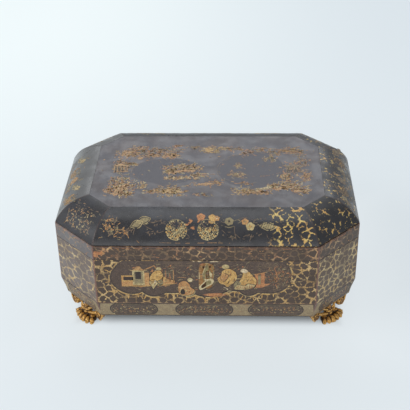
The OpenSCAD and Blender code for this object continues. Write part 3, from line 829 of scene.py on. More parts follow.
class Brush:
    """Draws raised gilding on a surface; x runs along it and v across it, in millimetres."""

    def __init__(self, surface, seed, bend=0.0, limits=(-math.inf, math.inf)):
        self.surface = surface
        self.limits = limits  # lowest and highest v of a stroke that is kept
        self.bend = bend  # longest flat stretch on a curved surface
        self.seed = seed
        self.dice = random.Random(seed)
        self.form = Form()
        self.place = Matrix.Identity(4)
        self.size = 1.0

    def at(self, x, v, size=1.0, turn=0.0, flip=1):
        """The same brush with its strokes moved, sized, turned in degrees and mirrored."""
        new = copy.copy(self)
        turned = Matrix.Rotation(math.radians(turn), 4, "Z")
        new.place = self.place @ Matrix.Translation((x, v, 0)) @ turned
        new.place = new.place @ Matrix.Diagonal((size * flip, size, 1, 1))
        new.size = self.size * size
        return new

    def within(self, v, margin=0.0):
        return self.limits[0] + margin <= v <= self.limits[1] - margin

    def spots(self, points):
        return [(self.place @ Vector((x, y, 0))).to_2d() for x, y in points]

    def relief(self, spots, faces, paint, high, foot=BURIED):
        """Closed raised shape over faces that lie in the surface."""
        if not all(self.within(v) for _, v in spots):
            return
        top = self.form.add([self.surface(x, v, high) for x, v in spots])
        foot = self.form.add([self.surface(x, v, foot) for x, v in spots])
        rims = set()
        for face in faces:
            pairs = list(zip(face, face[1:] + face[:1]))
            rims ^= {p for p in pairs if p[::-1] not in rims}
            rims -= {p[::-1] for p in pairs}
            self.form.face([top[n] for n in face], paint, [tuple(spots[n]) for n in face])
            back = face[::-1]
            self.form.face([foot[n] for n in back], paint, [tuple(spots[n]) for n in back])
        for a, b in sorted(rims):
            places = [tuple(spots[n]) for n in (a, b, b, a)]
            self.form.face((foot[a], foot[b], top[b], top[a]), paint, places)

    def fill(self, outline, paint, high=0.12, holes=(), foot=BURIED):
        """A raised patch inside a closed outline, perhaps with holes."""
        edge = self.spots(outline)
        inner = []
        if self.bend:
            edge = divided(edge, self.bend)
            xs, vs = zip(*edge)
            inner = [
                Vector((min(xs) + self.bend * i, min(vs) + self.bend * j))
                for i in range(1, int((max(xs) - min(xs)) / self.bend))
                for j in range(1, int((max(vs) - min(vs)) / self.bend))
            ]
        spots = edge + inner
        if holes:
            rings = [list(range(len(edge)))]
            for hole in holes:
                rings.append(list(range(len(spots), len(spots) + len(hole))))
                spots += self.spots(hole)
            spots, _, faces, *_ = delaunay_2d_cdt(spots, [], rings, 2, 1e-5)
        else:
            loop = [(k, (k + 1) % len(edge)) for k in range(len(edge))]
            spots, _, faces, *_ = delaunay_2d_cdt(spots, loop, [], 1, 1e-5)
        used = sorted({n for face in faces for n in face})
        number = {n: k for k, n in enumerate(used)}
        faces = [[number[n] for n in face] for face in faces]
        self.relief([spots[n] for n in used], faces, paint, high, foot)

    def line(self, path, width, paint, high=0.12, wear=1.0):
        """A raised stroke, thin at its ends, that is gone where its noise is above wear."""
        path = self.spots(path)
        length = sum((b - a).length for a, b in zip(path, path[1:]))
        count = max(2, round(length / 1.1))
        middle = [Vector(through(path, k / count)) for k in range(count + 1)]
        runs = [[]]
        for k, spot in enumerate(middle):
            here = noise.noise(Vector((spot.x * 0.23, spot.y * 0.23, self.seed)))
            if here > wear or not self.within(spot.y, 0.7):
                runs.append([])
                continue
            ahead = (middle[min(k + 1, count)] - middle[max(k - 1, 0)]).normalized()
            swell = noise.noise(Vector((spot.x * 0.5, spot.y * 0.5, self.seed + 7)))
            taper = min(1.0, 0.45 + 1.6 * min(k, count - k) / count)
            half = width * self.size * taper * (1 + 0.55 * swell) / 2
            runs[-1].append((spot, Vector((-ahead.y, ahead.x)) * half))
        for run in runs:
            if len(run) < 3:
                continue
            left = [spot + side for spot, side in run]
            right = [spot - side for spot, side in run]
            size = len(run)
            quads = [[size + k, size + k + 1, k + 1, k] for k in range(size - 1)]
            self.relief(left + right, quads, paint, high)

    def rect(self, x0, v0, x1, v1, paint, high=0.12):
        self.fill([(x0, v0), (x1, v0), (x1, v1), (x0, v1)], paint, high)

    def frame(self, x0, v0, x1, v1, width, paint, high=0.14):
        """Four bars round an opening."""
        self.rect(x0, v0, x1, v0 + width, paint, high)
        self.rect(x0, v1 - width, x1, v1, paint, high)
        self.rect(x0, v0 + width, x0 + width, v1 - width, paint, high)
        self.rect(x1 - width, v0 + width, x1, v1 - width, paint, high)

    def dot(self, x, v, r, paint, high=0.14):
        self.fill(oval(x, v, r, r, 10), paint, high)

    def build(self, name, body, slot, worn=False, nodes=()):
        used = sorted(set(self.form.marks))
        self.form.marks = [used.index(mark) for mark in self.form.marks]
        names = [PAINTS[mark] for mark in used]
        obj = self.form.build(name, [LOOK.get(f"{n}_worn" if worn else n, LOOK[n]) for n in names])
        settle(obj, body, slot, *nodes)


def divided(edge, longest):
    """A closed outline with its long sides divided."""
    out = []
    for a, b in zip(edge, edge[1:] + edge[:1]):
        count = max(1, math.ceil((b - a).length / longest))
        out += [a.lerp(b, k / count) for k in range(count)]
    return out


def oval(x, y, rx, ry, count=16):
    return [(x + rx * c, y + ry * s) for c, s in circle_points(0, 0, 1, count)]


def petal(length, width, blunt=1.0, steps=6):
    """An outline along X from a point; a higher blunt puts its widest part further out."""
    sides = [
        (length * k / steps,
        width / 2 * math.sin(math.pi * (k / steps) ** blunt)) for k in range(steps + 1)
    ]
    return sides + [(x, -y) for x, y in sides[-2:0:-1]]


def flowing(points, steps=4):
    """The smooth closed curve through points."""
    ring = points[-1:] + points + points[:2]
    shares = [s / steps for s in range(steps)]
    return [
        tuple(spline(*four,
        t) for four in zip(*ring[k : k + 4])) for k in range(len(points)) for t in shares
    ]


def bowed(corners, pitch=3.0):
    """A closed outline; the side after each corner bulges outwards by the corner's third number."""
    out = []
    for (x, y, bulge), (x2, y2, _) in zip(corners, corners[1:] + corners[:1]):
        dx, dy = x2 - x, y2 - y
        length = math.hypot(dx, dy)
        count = max(1, round(length / pitch))
        for k in range(count):
            t = k / count
            lift = 4 * bulge * t * (1 - t) / length
            out.append((x + dx * t + dy * lift, y + dy * t - dx * lift))
    return out


def grown(outline, by):
    """A closed outline, anticlockwise, moved outwards."""
    out = []
    for k, (x, y) in enumerate(outline):
        before, after = outline[k - 1], outline[(k + 1) % len(outline)]
        dx, dy = after[0] - before[0], after[1] - before[1]
        length = math.hypot(dx, dy) or 1
        out.append((x + dy / length * by, y - dx / length * by))
    return out


def inside(point, outline):
    """Whether a point lies inside a closed outline."""
    x, y = point
    hits = 0
    for (x0, y0), (x1, y1) in zip(outline, outline[1:] + outline[:1]):
        if (y0 > y) != (y1 > y) and x < x0 + (x1 - x0) * (y - y0) / (y1 - y0):
            hits += 1
    return hits % 2 == 1


def folds(b, outline, count, paints, length=5.0, turn=70, width=0.5, high=0.18):
    """Fine strokes kept inside an outline, such as the folds of a robe or the hatching of a rock."""
    xs, ys = zip(*outline)
    for _ in range(count):
        x, y = b.dice.uniform(min(xs), max(xs)), b.dice.uniform(min(ys), max(ys))
        angle = math.radians(turn + b.dice.gauss(0, 24))
        run = length * b.dice.uniform(0.5, 1.1)
        bow = b.dice.uniform(-0.5, 0.5)
        paint = b.dice.choice(paints)
        path = [
            (
                x + run * t * math.cos(angle) - bow * math.sin(angle) * (t == 0),
                y + run * t * math.sin(angle)
            )
            for t in (-0.5, 0, 0.5)
        ]
        if all(inside(p, outline) for p in path):
            b.line(path, width, paint, high, 0.6)


def robe(b, points, paint, count=16, turn=70, high=0.15):
    """A draped shape with folds and a dark edge."""
    outline = flowing(points)
    b.fill(outline, paint, high)
    folds(b, outline, count, (RUST, PALE, INK, RUST, OLIVE), 6, turn, 0.6, high + 0.03)
    b.line(outline + outline[:1], 0.75, INK, high + 0.02, 0.4)


def tangle(b, rx, ry, count, paints, flow=0.0, stroke=0.75, spread=55):
    """A cloud of fine bent strokes, leaves and dots, densest in its middle."""
    for _ in range(count):
        x, y = (min(max(b.dice.gauss(0, 0.48 * r), -r), r) for r in (rx, ry))
        turn = flow + b.dice.gauss(0, spread)
        run = b.dice.uniform(1.8, 4.8)
        spot = b.at(x, y, turn=turn)
        paint = b.dice.choice(paints)
        kind = b.dice.random()
        if kind < 0.22:
            spot.fill(petal(run, run * 0.42), paint, 0.12)
        elif kind < 0.34:
            b.dot(x, y, b.dice.uniform(0.45, 0.95), paint)
        else:
            bow = b.dice.uniform(-1.3, 1.3)
            path = [(0, 0), (run * 0.5, bow), (run, bow * 0.4), (run * 1.4, -bow * 0.4)]
            spot.line(path, stroke * b.dice.uniform(0.7, 1.5), paint, 0.11, 0.5)


# Motifs, each about its own origin


def chrysanthemum(b, r, paint=PALE, core=OLIVE, full=1.0):
    """Rings of petals between fine circles, whole below and worn to the outer rings above."""
    for reach, inner, count, share in (
        (1.0, 0.8, 30, 1.0), (0.8, 0.62, 24, 0.8), (0.62, 0.46, 18, 0.68), (0.46, 0.3, 13, 0.66),
        (0.3, 0.1, 8, 0.9),
    ):
        for k in range(count):
            turn = 360 * k / count + b.dice.uniform(-3, 3)
            upward = math.cos(math.radians(turn - 100))
            worn = upward > 1.15 - 1.5 * (1 - share) / full - 0.5 * b.dice.random()
            if b.dice.random() < (0.45 if worn else 0.07):
                continue
            start = r * (inner + b.dice.uniform(-0.02, 0.02))
            length = r * (reach - inner) * b.dice.uniform(0.85, 1.1)
            width = math.tau * r * reach / count * b.dice.uniform(0.66, 0.9)
            spot = b.at(
                start * math.cos(math.radians(turn)), start * math.sin(math.radians(turn)), turn=turn
            )
            paints = (FAINT, FAINT, core) if worn else (paint, paint, core, GOLD)
            spot.fill(petal(length, width, 1.6), b.dice.choice(paints), 0.14)
        ring = [
            (r * reach * c, r * reach * s) for c, s in circle_points(0, 0, 1, 28, math.pi * 0.8)
        ][:20]
        b.line(ring, 0.5, paint, 0.13, 0.15)
    b.fill(oval(0.4, -0.3, r * 0.1, r * 0.07), GOLD, 0.16)


def blossom(b, r, paint=RUST, core=GOLD, petals=5):
    for k in range(petals):
        b.at(0, 0, turn=360 * k / petals + 17).fill(
            petal(r, r * 0.9, 1.7), paint, 0.12 + 0.01 * (k % 2)
        )
    b.dot(0, 0, r * 0.24, core, 0.18)


def leaf(b, length, width, paint=OLIVE, edge=PALE):
    """A leaf with a raised rim, a filled middle and a vein."""
    outline = petal(length, width, 1.1, 8)
    b.fill([(0.12 * length + x * 0.78, y * 0.7) for x, y in outline], paint, 0.08)
    b.line(outline + outline[:1], 0.75 / b.size, edge, 0.14, 0.34)
    b.line([(0, 0), (length * 0.5, width * 0.05), (length * 0.9, 0)], 0.5 / b.size, edge, 0.12, 0.2)


def spray(b, length, paint=TAN, bloom=None, leaves=5):
    """A bending stem with small leaves and perhaps a flower at its end."""
    sway = b.dice.uniform(-0.3, 0.3) * length
    stem = [(0, 0), (length * 0.35, sway * 0.5), (length * 0.7, sway * 0.3), (length, sway)]
    b.line(stem, 0.55, paint, 0.1, 0.25)
    for k in range(leaves):
        x, y = through(stem, (k + 0.7) / leaves)
        size = b.dice.uniform(2.2, 4.2)
        b.at(
            x, y, turn=(45 + 30 * b.dice.random()) * (-1) ** k
        ).fill(petal(size, size * 0.42), paint, 0.11)
    if bloom is not None:
        blossom(b.at(length, sway), length * 0.16 + 1, bloom)


def figure(b, dress=TAN, trim=PALE, hair=INK):
    """A small robed figure sitting on the ground, about 21 mm high, with a plain head."""
    robe(
        b, [(-9, 0), (-9.5, 6), (-7, 12), (-2.5, 16), (2.5, 15), (5.5, 11), (9, 7), (7, 4), (8, 0),
        (0, -1.2)], dress, 14
    )
    b.fill(
        flowing([(-3, 12.5), (3, 13.5), (9.5, 9.2), (13, 6.2), (11, 4.6), (5, 6.6), (-1, 8.5)]), trim,
        0.17
    )
    b.fill(oval(0.6, 18.6, 2.5, 2.9), CREAM, 0.17)
    b.fill(
        flowing([(-2.2, 19), (-1.4, 21.6), (0.8, 22.4), (2.8, 21), (2.6, 20), (0, 20.4)]), hair, 0.19
    )
    for k in range(5):
        x = -7 + 3.1 * k
        b.line(
            [(x, 0.2), (x + 0.9, 4), (x + 0.4, 8.4 - 0.8 * k)], 0.45, trim if k % 2 else OLIVE, 0.18,
            0.3
        )
    b.line([(-9, 0.3), (-3, -0.8), (3, -0.8), (8, 0.4)], 0.9, trim, 0.18, 0.4)


def roof(b, half, rise, paint=TAN):
    """A roof with lifted eaves and tile lines."""
    b.fill(
        bowed([(-half, 0, 0.5), (half, 0, -rise * 0.16), (half * 0.22, rise, 0.4),
        (-half * 0.22, rise, -rise * 0.16)]), paint, 0.16
    )
    b.line(
        [(-half - 1.4, 1.2), (-half * 0.5, 0.1), (half * 0.5, 0.1), (half + 1.4, 1.2)], 0.8, PALE, 0.18,
        0.5
    )
    for k in range(-2, 3):
        b.line([(half * 0.32 * k, 0.6), (half * 0.12 * k, rise * 0.9)], 0.35, OLIVE, 0.18, 0.3)


def hall(b, width, high, bays, frame_paint=TAN):
    """An open hall: floor, posts, rails and lattice under a roof."""
    half = width / 2
    b.rect(-half, 0, half, high, INK, 0.07)
    b.rect(-half - 1.5, -1.4, half + 1.5, 0.6, frame_paint, 0.14)
    for k in range(bays + 1):
        x = -half + width * k / bays
        b.rect(x - 0.5, 0, x + 0.5, high, frame_paint, 0.14)
    for k in range(bays):
        x = -half + width * (k + 0.5) / bays
        step = width / bays
        if k % 2:
            for j in range(3):
                level = high * (0.12 + 0.11 * j)
                b.line([(x - step * 0.4, level), (x + step * 0.4, level)], 0.4, OLIVE, 0.12, 0.4)
        else:
            b.frame(x - step * 0.32, high * 0.3, x + step * 0.32, high * 0.85, 0.5, PALE, 0.12)
    b.rect(-half, high - 1, half, high, frame_paint, 0.15)
    roof(b.at(0, high), half + 2.5, high * 0.34, frame_paint)


def rock(b, width, high, paint=TAN):
    """A lumpy rock with hatching."""
    lumps = 7
    outline = []
    for k in range(lumps + 1):
        t = k / lumps
        outline.append(
            (width * (t - 0.5), high * math.sin(math.pi * (0.08 + 0.84 * t)) * b.dice.uniform(0.55,
            1.0))
        )
    outline += [(width * 0.42, -high * 0.12), (0, -high * 0.06), (-width * 0.42, -high * 0.12)]
    b.fill(flowing(outline), paint, 0.12)
    for _ in range(int(width / 2.6)):
        x, y = width * b.dice.uniform(-0.4, 0.4), high * b.dice.uniform(0.02, 0.45)
        b.line(
            [(x, y), (x + 1.4, y + 1.3), (x + 3, y + 1)], 0.45, b.dice.choice((OLIVE, PALE, RUST)),
            0.15, 0.5
        )


def tree(b, high, paint=OLIVE, trunk=TAN):
    """A leaning trunk with branches and clumps of leaves."""
    lean = b.dice.uniform(-0.25, 0.25) * high
    stem = [(0, 0), (lean * 0.7, high * 0.35), (lean * 0.2, high * 0.6), (lean, high)]
    b.line(stem, 1.1, trunk, 0.12, 0.4)
    for k in range(7):
        x, y = through(stem, 0.4 + 0.1 * k)
        reach = b.dice.uniform(0.15, 0.34) * high
        turn = b.dice.uniform(-35, 50)
        side = (-1) ** k
        tip = (
            x + side * reach * math.cos(math.radians(turn)), y + reach * math.sin(math.radians(turn))
        )
        b.line([(x, y), ((x + tip[0]) / 2, (y + tip[1]) / 2 + 0.8), tip], 0.55, trunk, 0.12, 0.4)
        for _ in range(6):
            dx, dy = b.dice.gauss(0, 1.5), b.dice.gauss(0, 1.1)
            b.at(
                tip[0] + dx, tip[1] + dy, turn=b.dice.uniform(0, 180)
            ).fill(petal(2.4, 0.9), paint, 0.13)


def fence(b, width, high, paint=OLIVE):
    for level in (0.2, 0.6, 1.0):
        b.line(
            [(0, high * level), (width / 2, high * level * 0.97), (width, high * level)], 0.45, paint,
            0.1, 0.3
        )
    posts = max(2, round(width / 4))
    for k in range(posts + 1):
        x = width * k / posts
        b.line([(x, 0), (x, high * 0.5), (x, high * 1.08)], 0.55, paint, 0.11, 0.35)
        if k < posts:
            b.line([(x, high * 0.2), (x + width / posts, high * 0.6)], 0.35, paint, 0.09, 0.2)


def boat(b, length, paint=TAN):
    """A long leaf-shaped boat."""
    b.fill(
        bowed([(-length / 2, 1.6, 3), (length / 2, 1.8, 0), (length * 0.34, 3.4, 0.6),
        (-length * 0.3, 3.2, 0)]), paint, 0.13
    )
    for k in range(-3, 4):
        x = length * 0.11 * k
        b.line([(x, 0.2), (x + 0.6, 2.8)], 0.4, CREAM if k % 2 else RUST, 0.16, 0.5)


def scribble(b, width, high, count, paints, length=4.0, stroke=0.5):
    """Broken brush strokes and dots scattered over an area about the origin."""
    for _ in range(count):
        x, y = width * b.dice.uniform(-0.5, 0.5), high * b.dice.uniform(-0.5, 0.5)
        run = length * b.dice.uniform(0.4, 1.2)
        rise = b.dice.gauss(0, 0.35) * run
        paint = b.dice.choice(paints)
        if b.dice.random() < 0.25:
            b.dot(x, y, b.dice.uniform(0.45, 0.9), paint, 0.12)
        else:
            path = [(x, y), (x + run * 0.5, y + rise + b.dice.uniform(-0.8, 0.8)), (x + run, y + rise)]
            b.line(path, stroke * b.dice.uniform(0.8, 1.6), paint, 0.11, 0.4)


def panel(b, outline, holes=(), wear=0.2):
    """A dark plate with a fine line inside and a bold worn line outside, both open at the top."""
    top = min(WALL_H, b.limits[1]) - 0.6
    plate = [(x, min(v, top)) for x, v in grown(outline, 1.3)]
    b.fill(plate, PLATE, 0.05, holes)
    low = min(range(len(outline)), key=lambda k: outline[k][1])
    ring = outline[low:] + outline[:low]
    first = next(k for k, p in enumerate(ring) if p[1] > top - 2)
    last = len(ring) - next(k for k, p in enumerate(ring[::-1]) if p[1] > top - 2)
    ring = ring[last:] + ring[:first]
    b.line(ring, 1.0, INK, 0.09, 0.5)
    outer = grown(ring, 2.2)[1:-1]
    b.line(outer, 1.5, GOLD, 0.12, wear)
    b.line(grown(ring, 1.4)[1:-1], 0.6, PALE, 0.13, 0.3)


def branches(b, outline, corners, length=7.0):
    """Short strokes that tie a panel's line to the net round it."""
    count = len(outline)
    for share in corners:
        k = int(share * count) % count
        x, y = outline[k]
        after, before = outline[(k + 1) % count], outline[k - 1]
        dx, dy = after[0] - before[0], after[1] - before[1]
        size = math.hypot(dx, dy) or 1
        reach = length * b.dice.uniform(0.6, 1.1)
        tip = (x + dy / size * (2 + reach), y - dx / size * (2 + reach))
        if 0.8 < tip[1] < WALL_H - 0.8:
            b.line([(x + dy / size * 2, y - dx / size * 2), tip], 1.1, GOLD, 0.11)


# What is painted on each board


def front_wall():
    b = Brush(on_wall(FRONT), 11)
    outline = bowed([
        (-92, 60.2, 1.6), (-104.4, 50.6, 7.5), (-101.5, 20, 4.4), (-74.9, 17.3, 6), (-47.7, 15.9, 0.2),
        (-31, 16.2, 4), (-12.9, 13.8, 1.2), (6, 10.2, 0.6), (25, 18.8, -0.4), (38.8, 19, 5.6),
        (60, 16.8, 0),
        (74, 16, 8.5), (97.5, 42, 3.5), (86, 60.2, 0),
    ])
    keyplate = [(x, z - Z_WALL) for x, z in escutcheon_outline(-0.4)]
    panel(b, outline, (keyplate,))
    branches(b, outline, [k / 40 for k in range(40)])
    scribble(b.at(0, 38), 180, 38, 360, (OLIVE, OLIVE, FAINT, FAINT, FAINT, RUST), 4.4, 0.75)

    # The pavilion at the left
    b.rect(-98, 25, -84, 40, TAN, 0.12)
    b.frame(-98, 31.4, -84, 40, 1.4, GOLD, 0.15)
    b.rect(-95.6, 33.2, -84, 38, INK, 0.16)
    b.rect(-85, 26.5, -71, 47, OLIVE, 0.12)
    b.frame(-85, 26.5, -71, 47.4, 1.9, PALE, 0.16)
    b.rect(-81.6, 35, -75, 45.4, INK, 0.17)
    fence(b.at(-82, 27.5), 8, 6.4, INK)
    roof(b.at(-77.8, 46.8), 9.2, 6, TAN)
    b.rect(-71, 25.6, -65.6, 44, TAN, 0.13)
    b.line([(-98.4, 24.6), (-84, 25), (-68, 25.2), (-36, 28.6)], 1.3, GOLD, 0.16)
    b.rect(-65.6, 29, -62.6, 45.6, INK, 0.08)
    b.line([(-71, 48.4), (-65, 51), (-59.2, 53.8), (-57.5, 49.4)], 1.1, TAN, 0.15)
    b.line([(-57, 51.4), (-49, 50.2), (-34, 50.4)], 0.5, RUST, 0.1, 0.2)
    for x, top in ((-61.6, 50), (-50.4, 50), (-46.4, 47.5), (-41.6, 44), (-37.4, 48.6)):
        b.line([(x, 30), (x + 0.2, (30 + top) / 2), (x, top)], 0.9, TAN if x > -40 else RUST, 0.13, 0.5)
    for k in range(5):
        b.line([(-47.4 + 2.1 * k, 33), (-47.2 + 2.1 * k, 48)], 0.4, OLIVE, 0.1, 0.3)
    figure(b.at(-57, 31, 0.86), TAN, GOLD)
    robe(
        b, [(-65, 33), (-63, 42), (-58, 47), (-52, 47.4), (-49, 41), (-51, 36), (-57, 32)], GOLD, 8, 60,
        0.19
    )
    b.fill(oval(-54, 49.6, 3.0, 2.6), PALE, 0.2)
    robe(
        b, [(-63, 30), (-57, 38), (-48, 37), (-40, 34.5), (-36, 33.6), (-37, 28.6), (-48, 27),
        (-58, 27)], TAN, 18, 10, 0.13
    )
    robe(
        b, [(-66, 30.5), (-63.4, 34), (-58.6, 33.6), (-55.6, 29), (-59, 24), (-61.5, 20.4),
        (-63.6, 25)], PALE, 10, 60, 0.17
    )
    b.fill(oval(-58.8, 31, 1.3, 2.6), CREAM, 0.2)
    b.fill(oval(-53, 30.2, 3.6, 4.2), OLIVE, 0.16)
    b.line([(-53, 26.2), (-47, 25.6), (-42, 25.8)], 0.9, TAN, 0.14)

    # Figures in the garden
    robe(
        b, [(-32.6, 22), (-31.4, 29), (-26, 32.8), (-20.6, 30.6), (-17.4, 23.6), (-12.9, 19.6),
        (-15, 14.6), (-20, 11.8), (-27, 12), (-31.4, 14.6)], TAN, 22
    )
    b.fill(flowing([(-29, 13.6), (-29.4, 18), (-27.4, 21), (-25, 19.4), (-24.6, 14)]), INK, 0.18)
    b.line([(-30.6, 15), (-27.6, 23.6), (-23.4, 19.8), (-21, 14.4)], 0.9, PALE, 0.19, 0.6)
    b.line([(-31, 12.6), (-22, 10.8), (-15, 13.2), (-12.4, 18.6)], 1.2, PALE, 0.18, 0.6)
    b.fill(oval(-18.2, 34, 3.2, 2.9), PALE, 0.17)
    b.dot(-17.4, 33.6, 1.5, CREAM, 0.2)
    b.line([(-33, 37.4), (-22, 37.8), (-12, 37)], 0.6, TAN, 0.1, 0.3)
    robe(
        b, [(13.4, 36), (17.4, 41), (19.4, 47), (24, 50.4), (31, 49), (35.6, 43), (36, 36), (31, 29),
        (25, 24), (21, 27.6), (16.4, 29)], GOLD, 30
    )
    b.fill(oval(23, 53, 4.2, 3.2), PALE, 0.17)
    robe(b, [(16.6, 36.4), (21.4, 32), (25.4, 37.6), (26, 42), (20.4, 43.6)], TAN, 8, 50, 0.17)
    seated = b.at(3.6, -0.8)
    seated.line([(27.2, 38), (33, 36.8), (39, 37.8)], 1.0, PALE, 0.19, 0.6)
    robe(
        seated, [(31.8, 24.6), (35.4, 34), (38.4, 40), (39.4, 47.2), (45, 48), (50.6, 42), (55.4, 34.4),
        (53, 26), (44, 23.4)], GOLD, 34
    )
    seated.fill(flowing([(36.6, 47.4), (38, 50.6), (41.6, 50.8), (45.4, 47.6), (42, 45)]), CREAM, 0.18)
    robe(
        seated, [(29.6, 21.8), (33, 28.4), (41, 27), (46, 30), (54, 27.4), (51, 23.6), (42, 21.4)],
        PALE, 24, 80, 0.17
    )
    seated.fill(flowing([(28.6, 26), (32, 33.6), (37, 31), (34, 26.6)]), OLIVE, 0.16)
    for k in range(7):
        seated.line([(32 + 2.9 * k, 22.4), (34.6 + 2.6 * k, 27)], 0.7, RUST, 0.19, 0.8)
    b.line([(20.4, 24), (25.4, 21), (23, 19.8)], 0.8, CREAM, 0.13, 0.5)
    b.rect(56.8, 25, 60.4, 43.4, RUST, 0.14)
    b.rect(63.6, 26, 68, 44.6, RUST, 0.14)
    b.rect(60.4, 28, 63.6, 41, OLIVE, 0.12)
    b.line([(55.6, 42), (62, 43.4), (69.4, 45.6)], 1.2, TAN, 0.16)
    b.fill(
        bowed([(44, 22.8, 0), (64, 23.4, 0.6), (75.4, 29.6, 0), (64, 28.6, 0), (52, 25.6, 0)]), RUST,
        0.13
    )
    boat(b.at(10.4, 11.2), 28, RUST)

    for k in range(6):
        b.line(
            [(60 + 4.2 * k, 52 + 0.5 * k), (61 + 4.2 * k, 56), (62.4 + 4.2 * k, 59)], 0.7, FAINT, 0.1,
            0.4
        )
        b.line([(58, 51 + 1.5 * k), (70, 51.6 + 1.5 * k), (84, 51 + 1.5 * k)], 0.45, FAINT, 0.09, 0.2)
    for k in range(7):
        b.line([(-46 + 3 * k, 57.6), (-45 + 3 * k, 55), (-44.4 + 3 * k, 52)], 0.6, FAINT, 0.1, 0.4)
    for level in (54, 57.4, 59):
        b.line([(-60, level - 1), (-40, level), (-20, level), (-12, level - 1)], 0.6, FAINT, 0.1, 0.35)
    # What is left of the garden at the right
    fence(b.at(76, 24), 17, 13, FAINT)
    tree(b.at(83, 22), 30, FAINT, RUST)
    tangle(b.at(84, 40), 15, 16, 120, (OLIVE, RUST, FAINT, FAINT), 0, 0.6)
    for x in (-9.6, 9.8):
        b.line([(x - 5, 59.9), (x, 60.3), (x + 5, 60)], 1.2, CREAM, 0.14, 0.5)
    b.build("gilding_wall_front", "case", "lacquer_body")


def garden_wall(side, seed):
    """A lobed panel with a hall, figures, trees and a fence."""
    low, high = 15, BEVEL_FOOT - 1 if side == BACK else 60
    b = Brush(on_wall(side), seed, limits=(0, BEVEL_FOOT if side == BACK else WALL_H))
    half = side_length(side) / 2 - 24
    lobe = (half * 0.95, half * 0.62, half * 0.3)
    right = [
        (lobe[2], low + 1, 4), (lobe[1], low, 3.4), (lobe[0], low + 6, 5), (half + 2, 40, 4),
        (half - 8, high, 0)
    ]
    left = [
        (-half + 8, high, 4), (-half - 2, 40, 5), (-lobe[0], low + 6, 3.4), (-lobe[1], low, 4),
        (-lobe[2], low + 1, 4)
    ]
    outline = bowed(right + left)
    panel(b, outline)
    branches(b, outline, [k / 36 for k in range(36)])
    scribble(b.at(0, 38), 2 * half - 16, 34, int(half), (OLIVE, FAINT, FAINT, RUST), 5)
    hand = 1 if seed % 2 else -1
    hall(b.at(-hand * half * 0.58, 23), half * 0.5, 18, 4)
    figure(b.at(-hand * half * 0.12, 21, 0.9, flip=hand), TAN, PALE)
    figure(b.at(hand * half * 0.16, 24, 0.85, flip=-hand), GOLD, OLIVE)
    tree(b.at(hand * half * 0.46, 20, 1.1), 30, OLIVE, TAN)
    rock(b.at(hand * half * 0.66, 21), 26, 9, TAN)
    tree(b.at(hand * half * 0.8, 22, 0.9), 24, OLIVE, RUST)
    fence(b.at(hand * half * 0.5 - (16 if hand < 0 else 0), 32), 16, 8, OLIVE)
    boat(b.at(0, 14.5), half * 0.3, RUST)
    b.build(f"gilding_wall_{SIDES[side]}", "case", "lacquer_body")


def base_band(side):
    """A pale band pierced by long dark fields full of scrollwork, with a line above and below."""
    b = Brush(on_base(side), 70 + side)
    half = side_length(side) / 2 - 5.5
    low, high = 2.4, 23.2
    if side == FRONT_LEFT:
        fields = [(-half + 4, half - 4)]
    elif side % 2:
        fields = [(-half + 5, half + 2)]
    elif side % 4 == 0:
        fields = [(-half + 9, -58), (-36.5, 31.5), (49.5, half - 9)]
    else:
        fields = [(-half + 5, -9), (9, half - 5)]
    middle = (low + high) / 2
    size = high - low
    holes = [[(x + (x0 + x1) / 2, y + middle) for x, y in rounded(x1 - x0, size)] for x0, x1 in fields]
    b.fill(
        [(-half - 4, low - 0.8), (half + 4, low - 0.8), (half + 2, high + 0.8),
        (-half - 2, high + 0.8)], BAND, 0.08, holes
    )
    for x0, x1 in fields:
        lozenge(b.at((x0 + x1) / 2, middle), x1 - x0, size, FAINT if side == FRONT_LEFT else PLATE)
    scribble(b.at(0, middle), 2 * half, size - 2, int(half), (OLIVE, TAN, FAINT, PALE), 4, 0.5)
    for level in (0.9, BASE_RUN - 0.9):
        b.line([(-half - 3, level), (0, level), (half + 3, level)], 1.0, INK, 0.09, 0.5)
    b.build(f"gilding_base_{SIDES[side]}", "case", "lacquer_base")


def rounded(width, high):
    """The outline of a long field with round ends."""
    r = high * 0.42
    turns = [math.pi * (k / 12 - 0.5) for k in range(13)]
    ends = [(width / 2 - r * (1 - math.cos(t)), high / 2 * math.sin(t)) for t in turns]
    return ends + [(-x, y) for x, y in ends[::-1]]


def lozenge(b, width, high, ground=PLATE):
    """A long dark field with round ends and a row of scrolls inside."""
    outline = rounded(width, high)
    b.fill(outline, ground, 0.06)
    b.line(outline + outline[:1], 1.1, INK, 0.1)
    inner = [(x * (1 - 3 / width), y * 0.84) for x, y in outline]
    b.line(inner + inner[:1], 0.4, OLIVE, 0.1, 0.2)
    count = int((width - 6) / 5.2)
    for k in range(count):
        x = (k - (count - 1) / 2) * 5.2
        for row in (-1, 1):
            flip = row * (-1) ** k
            spiral = [
                (2.3 * (1 - t / 9) * math.cos(t),
                2.3 * (1 - t / 9) * math.sin(t)) for t in (0.8 * n for n in range(10))
            ]
            b.at(x, row * high * 0.21, flip=flip).line(
                spiral, 0.55, b.dice.choice((PALE, TAN, FAINT, OLIVE)), 0.12, 0.3
            )
        b.at(x, 0, turn=90 * (k % 2)).fill(petal(2.4, 1.3), b.dice.choice((PALE, GOLD, TAN)), 0.13)
    scribble(b, width - 8, high * 0.8, int(width * 1.1), (FAINT, TAN, OLIVE), 2.0, 0.4)


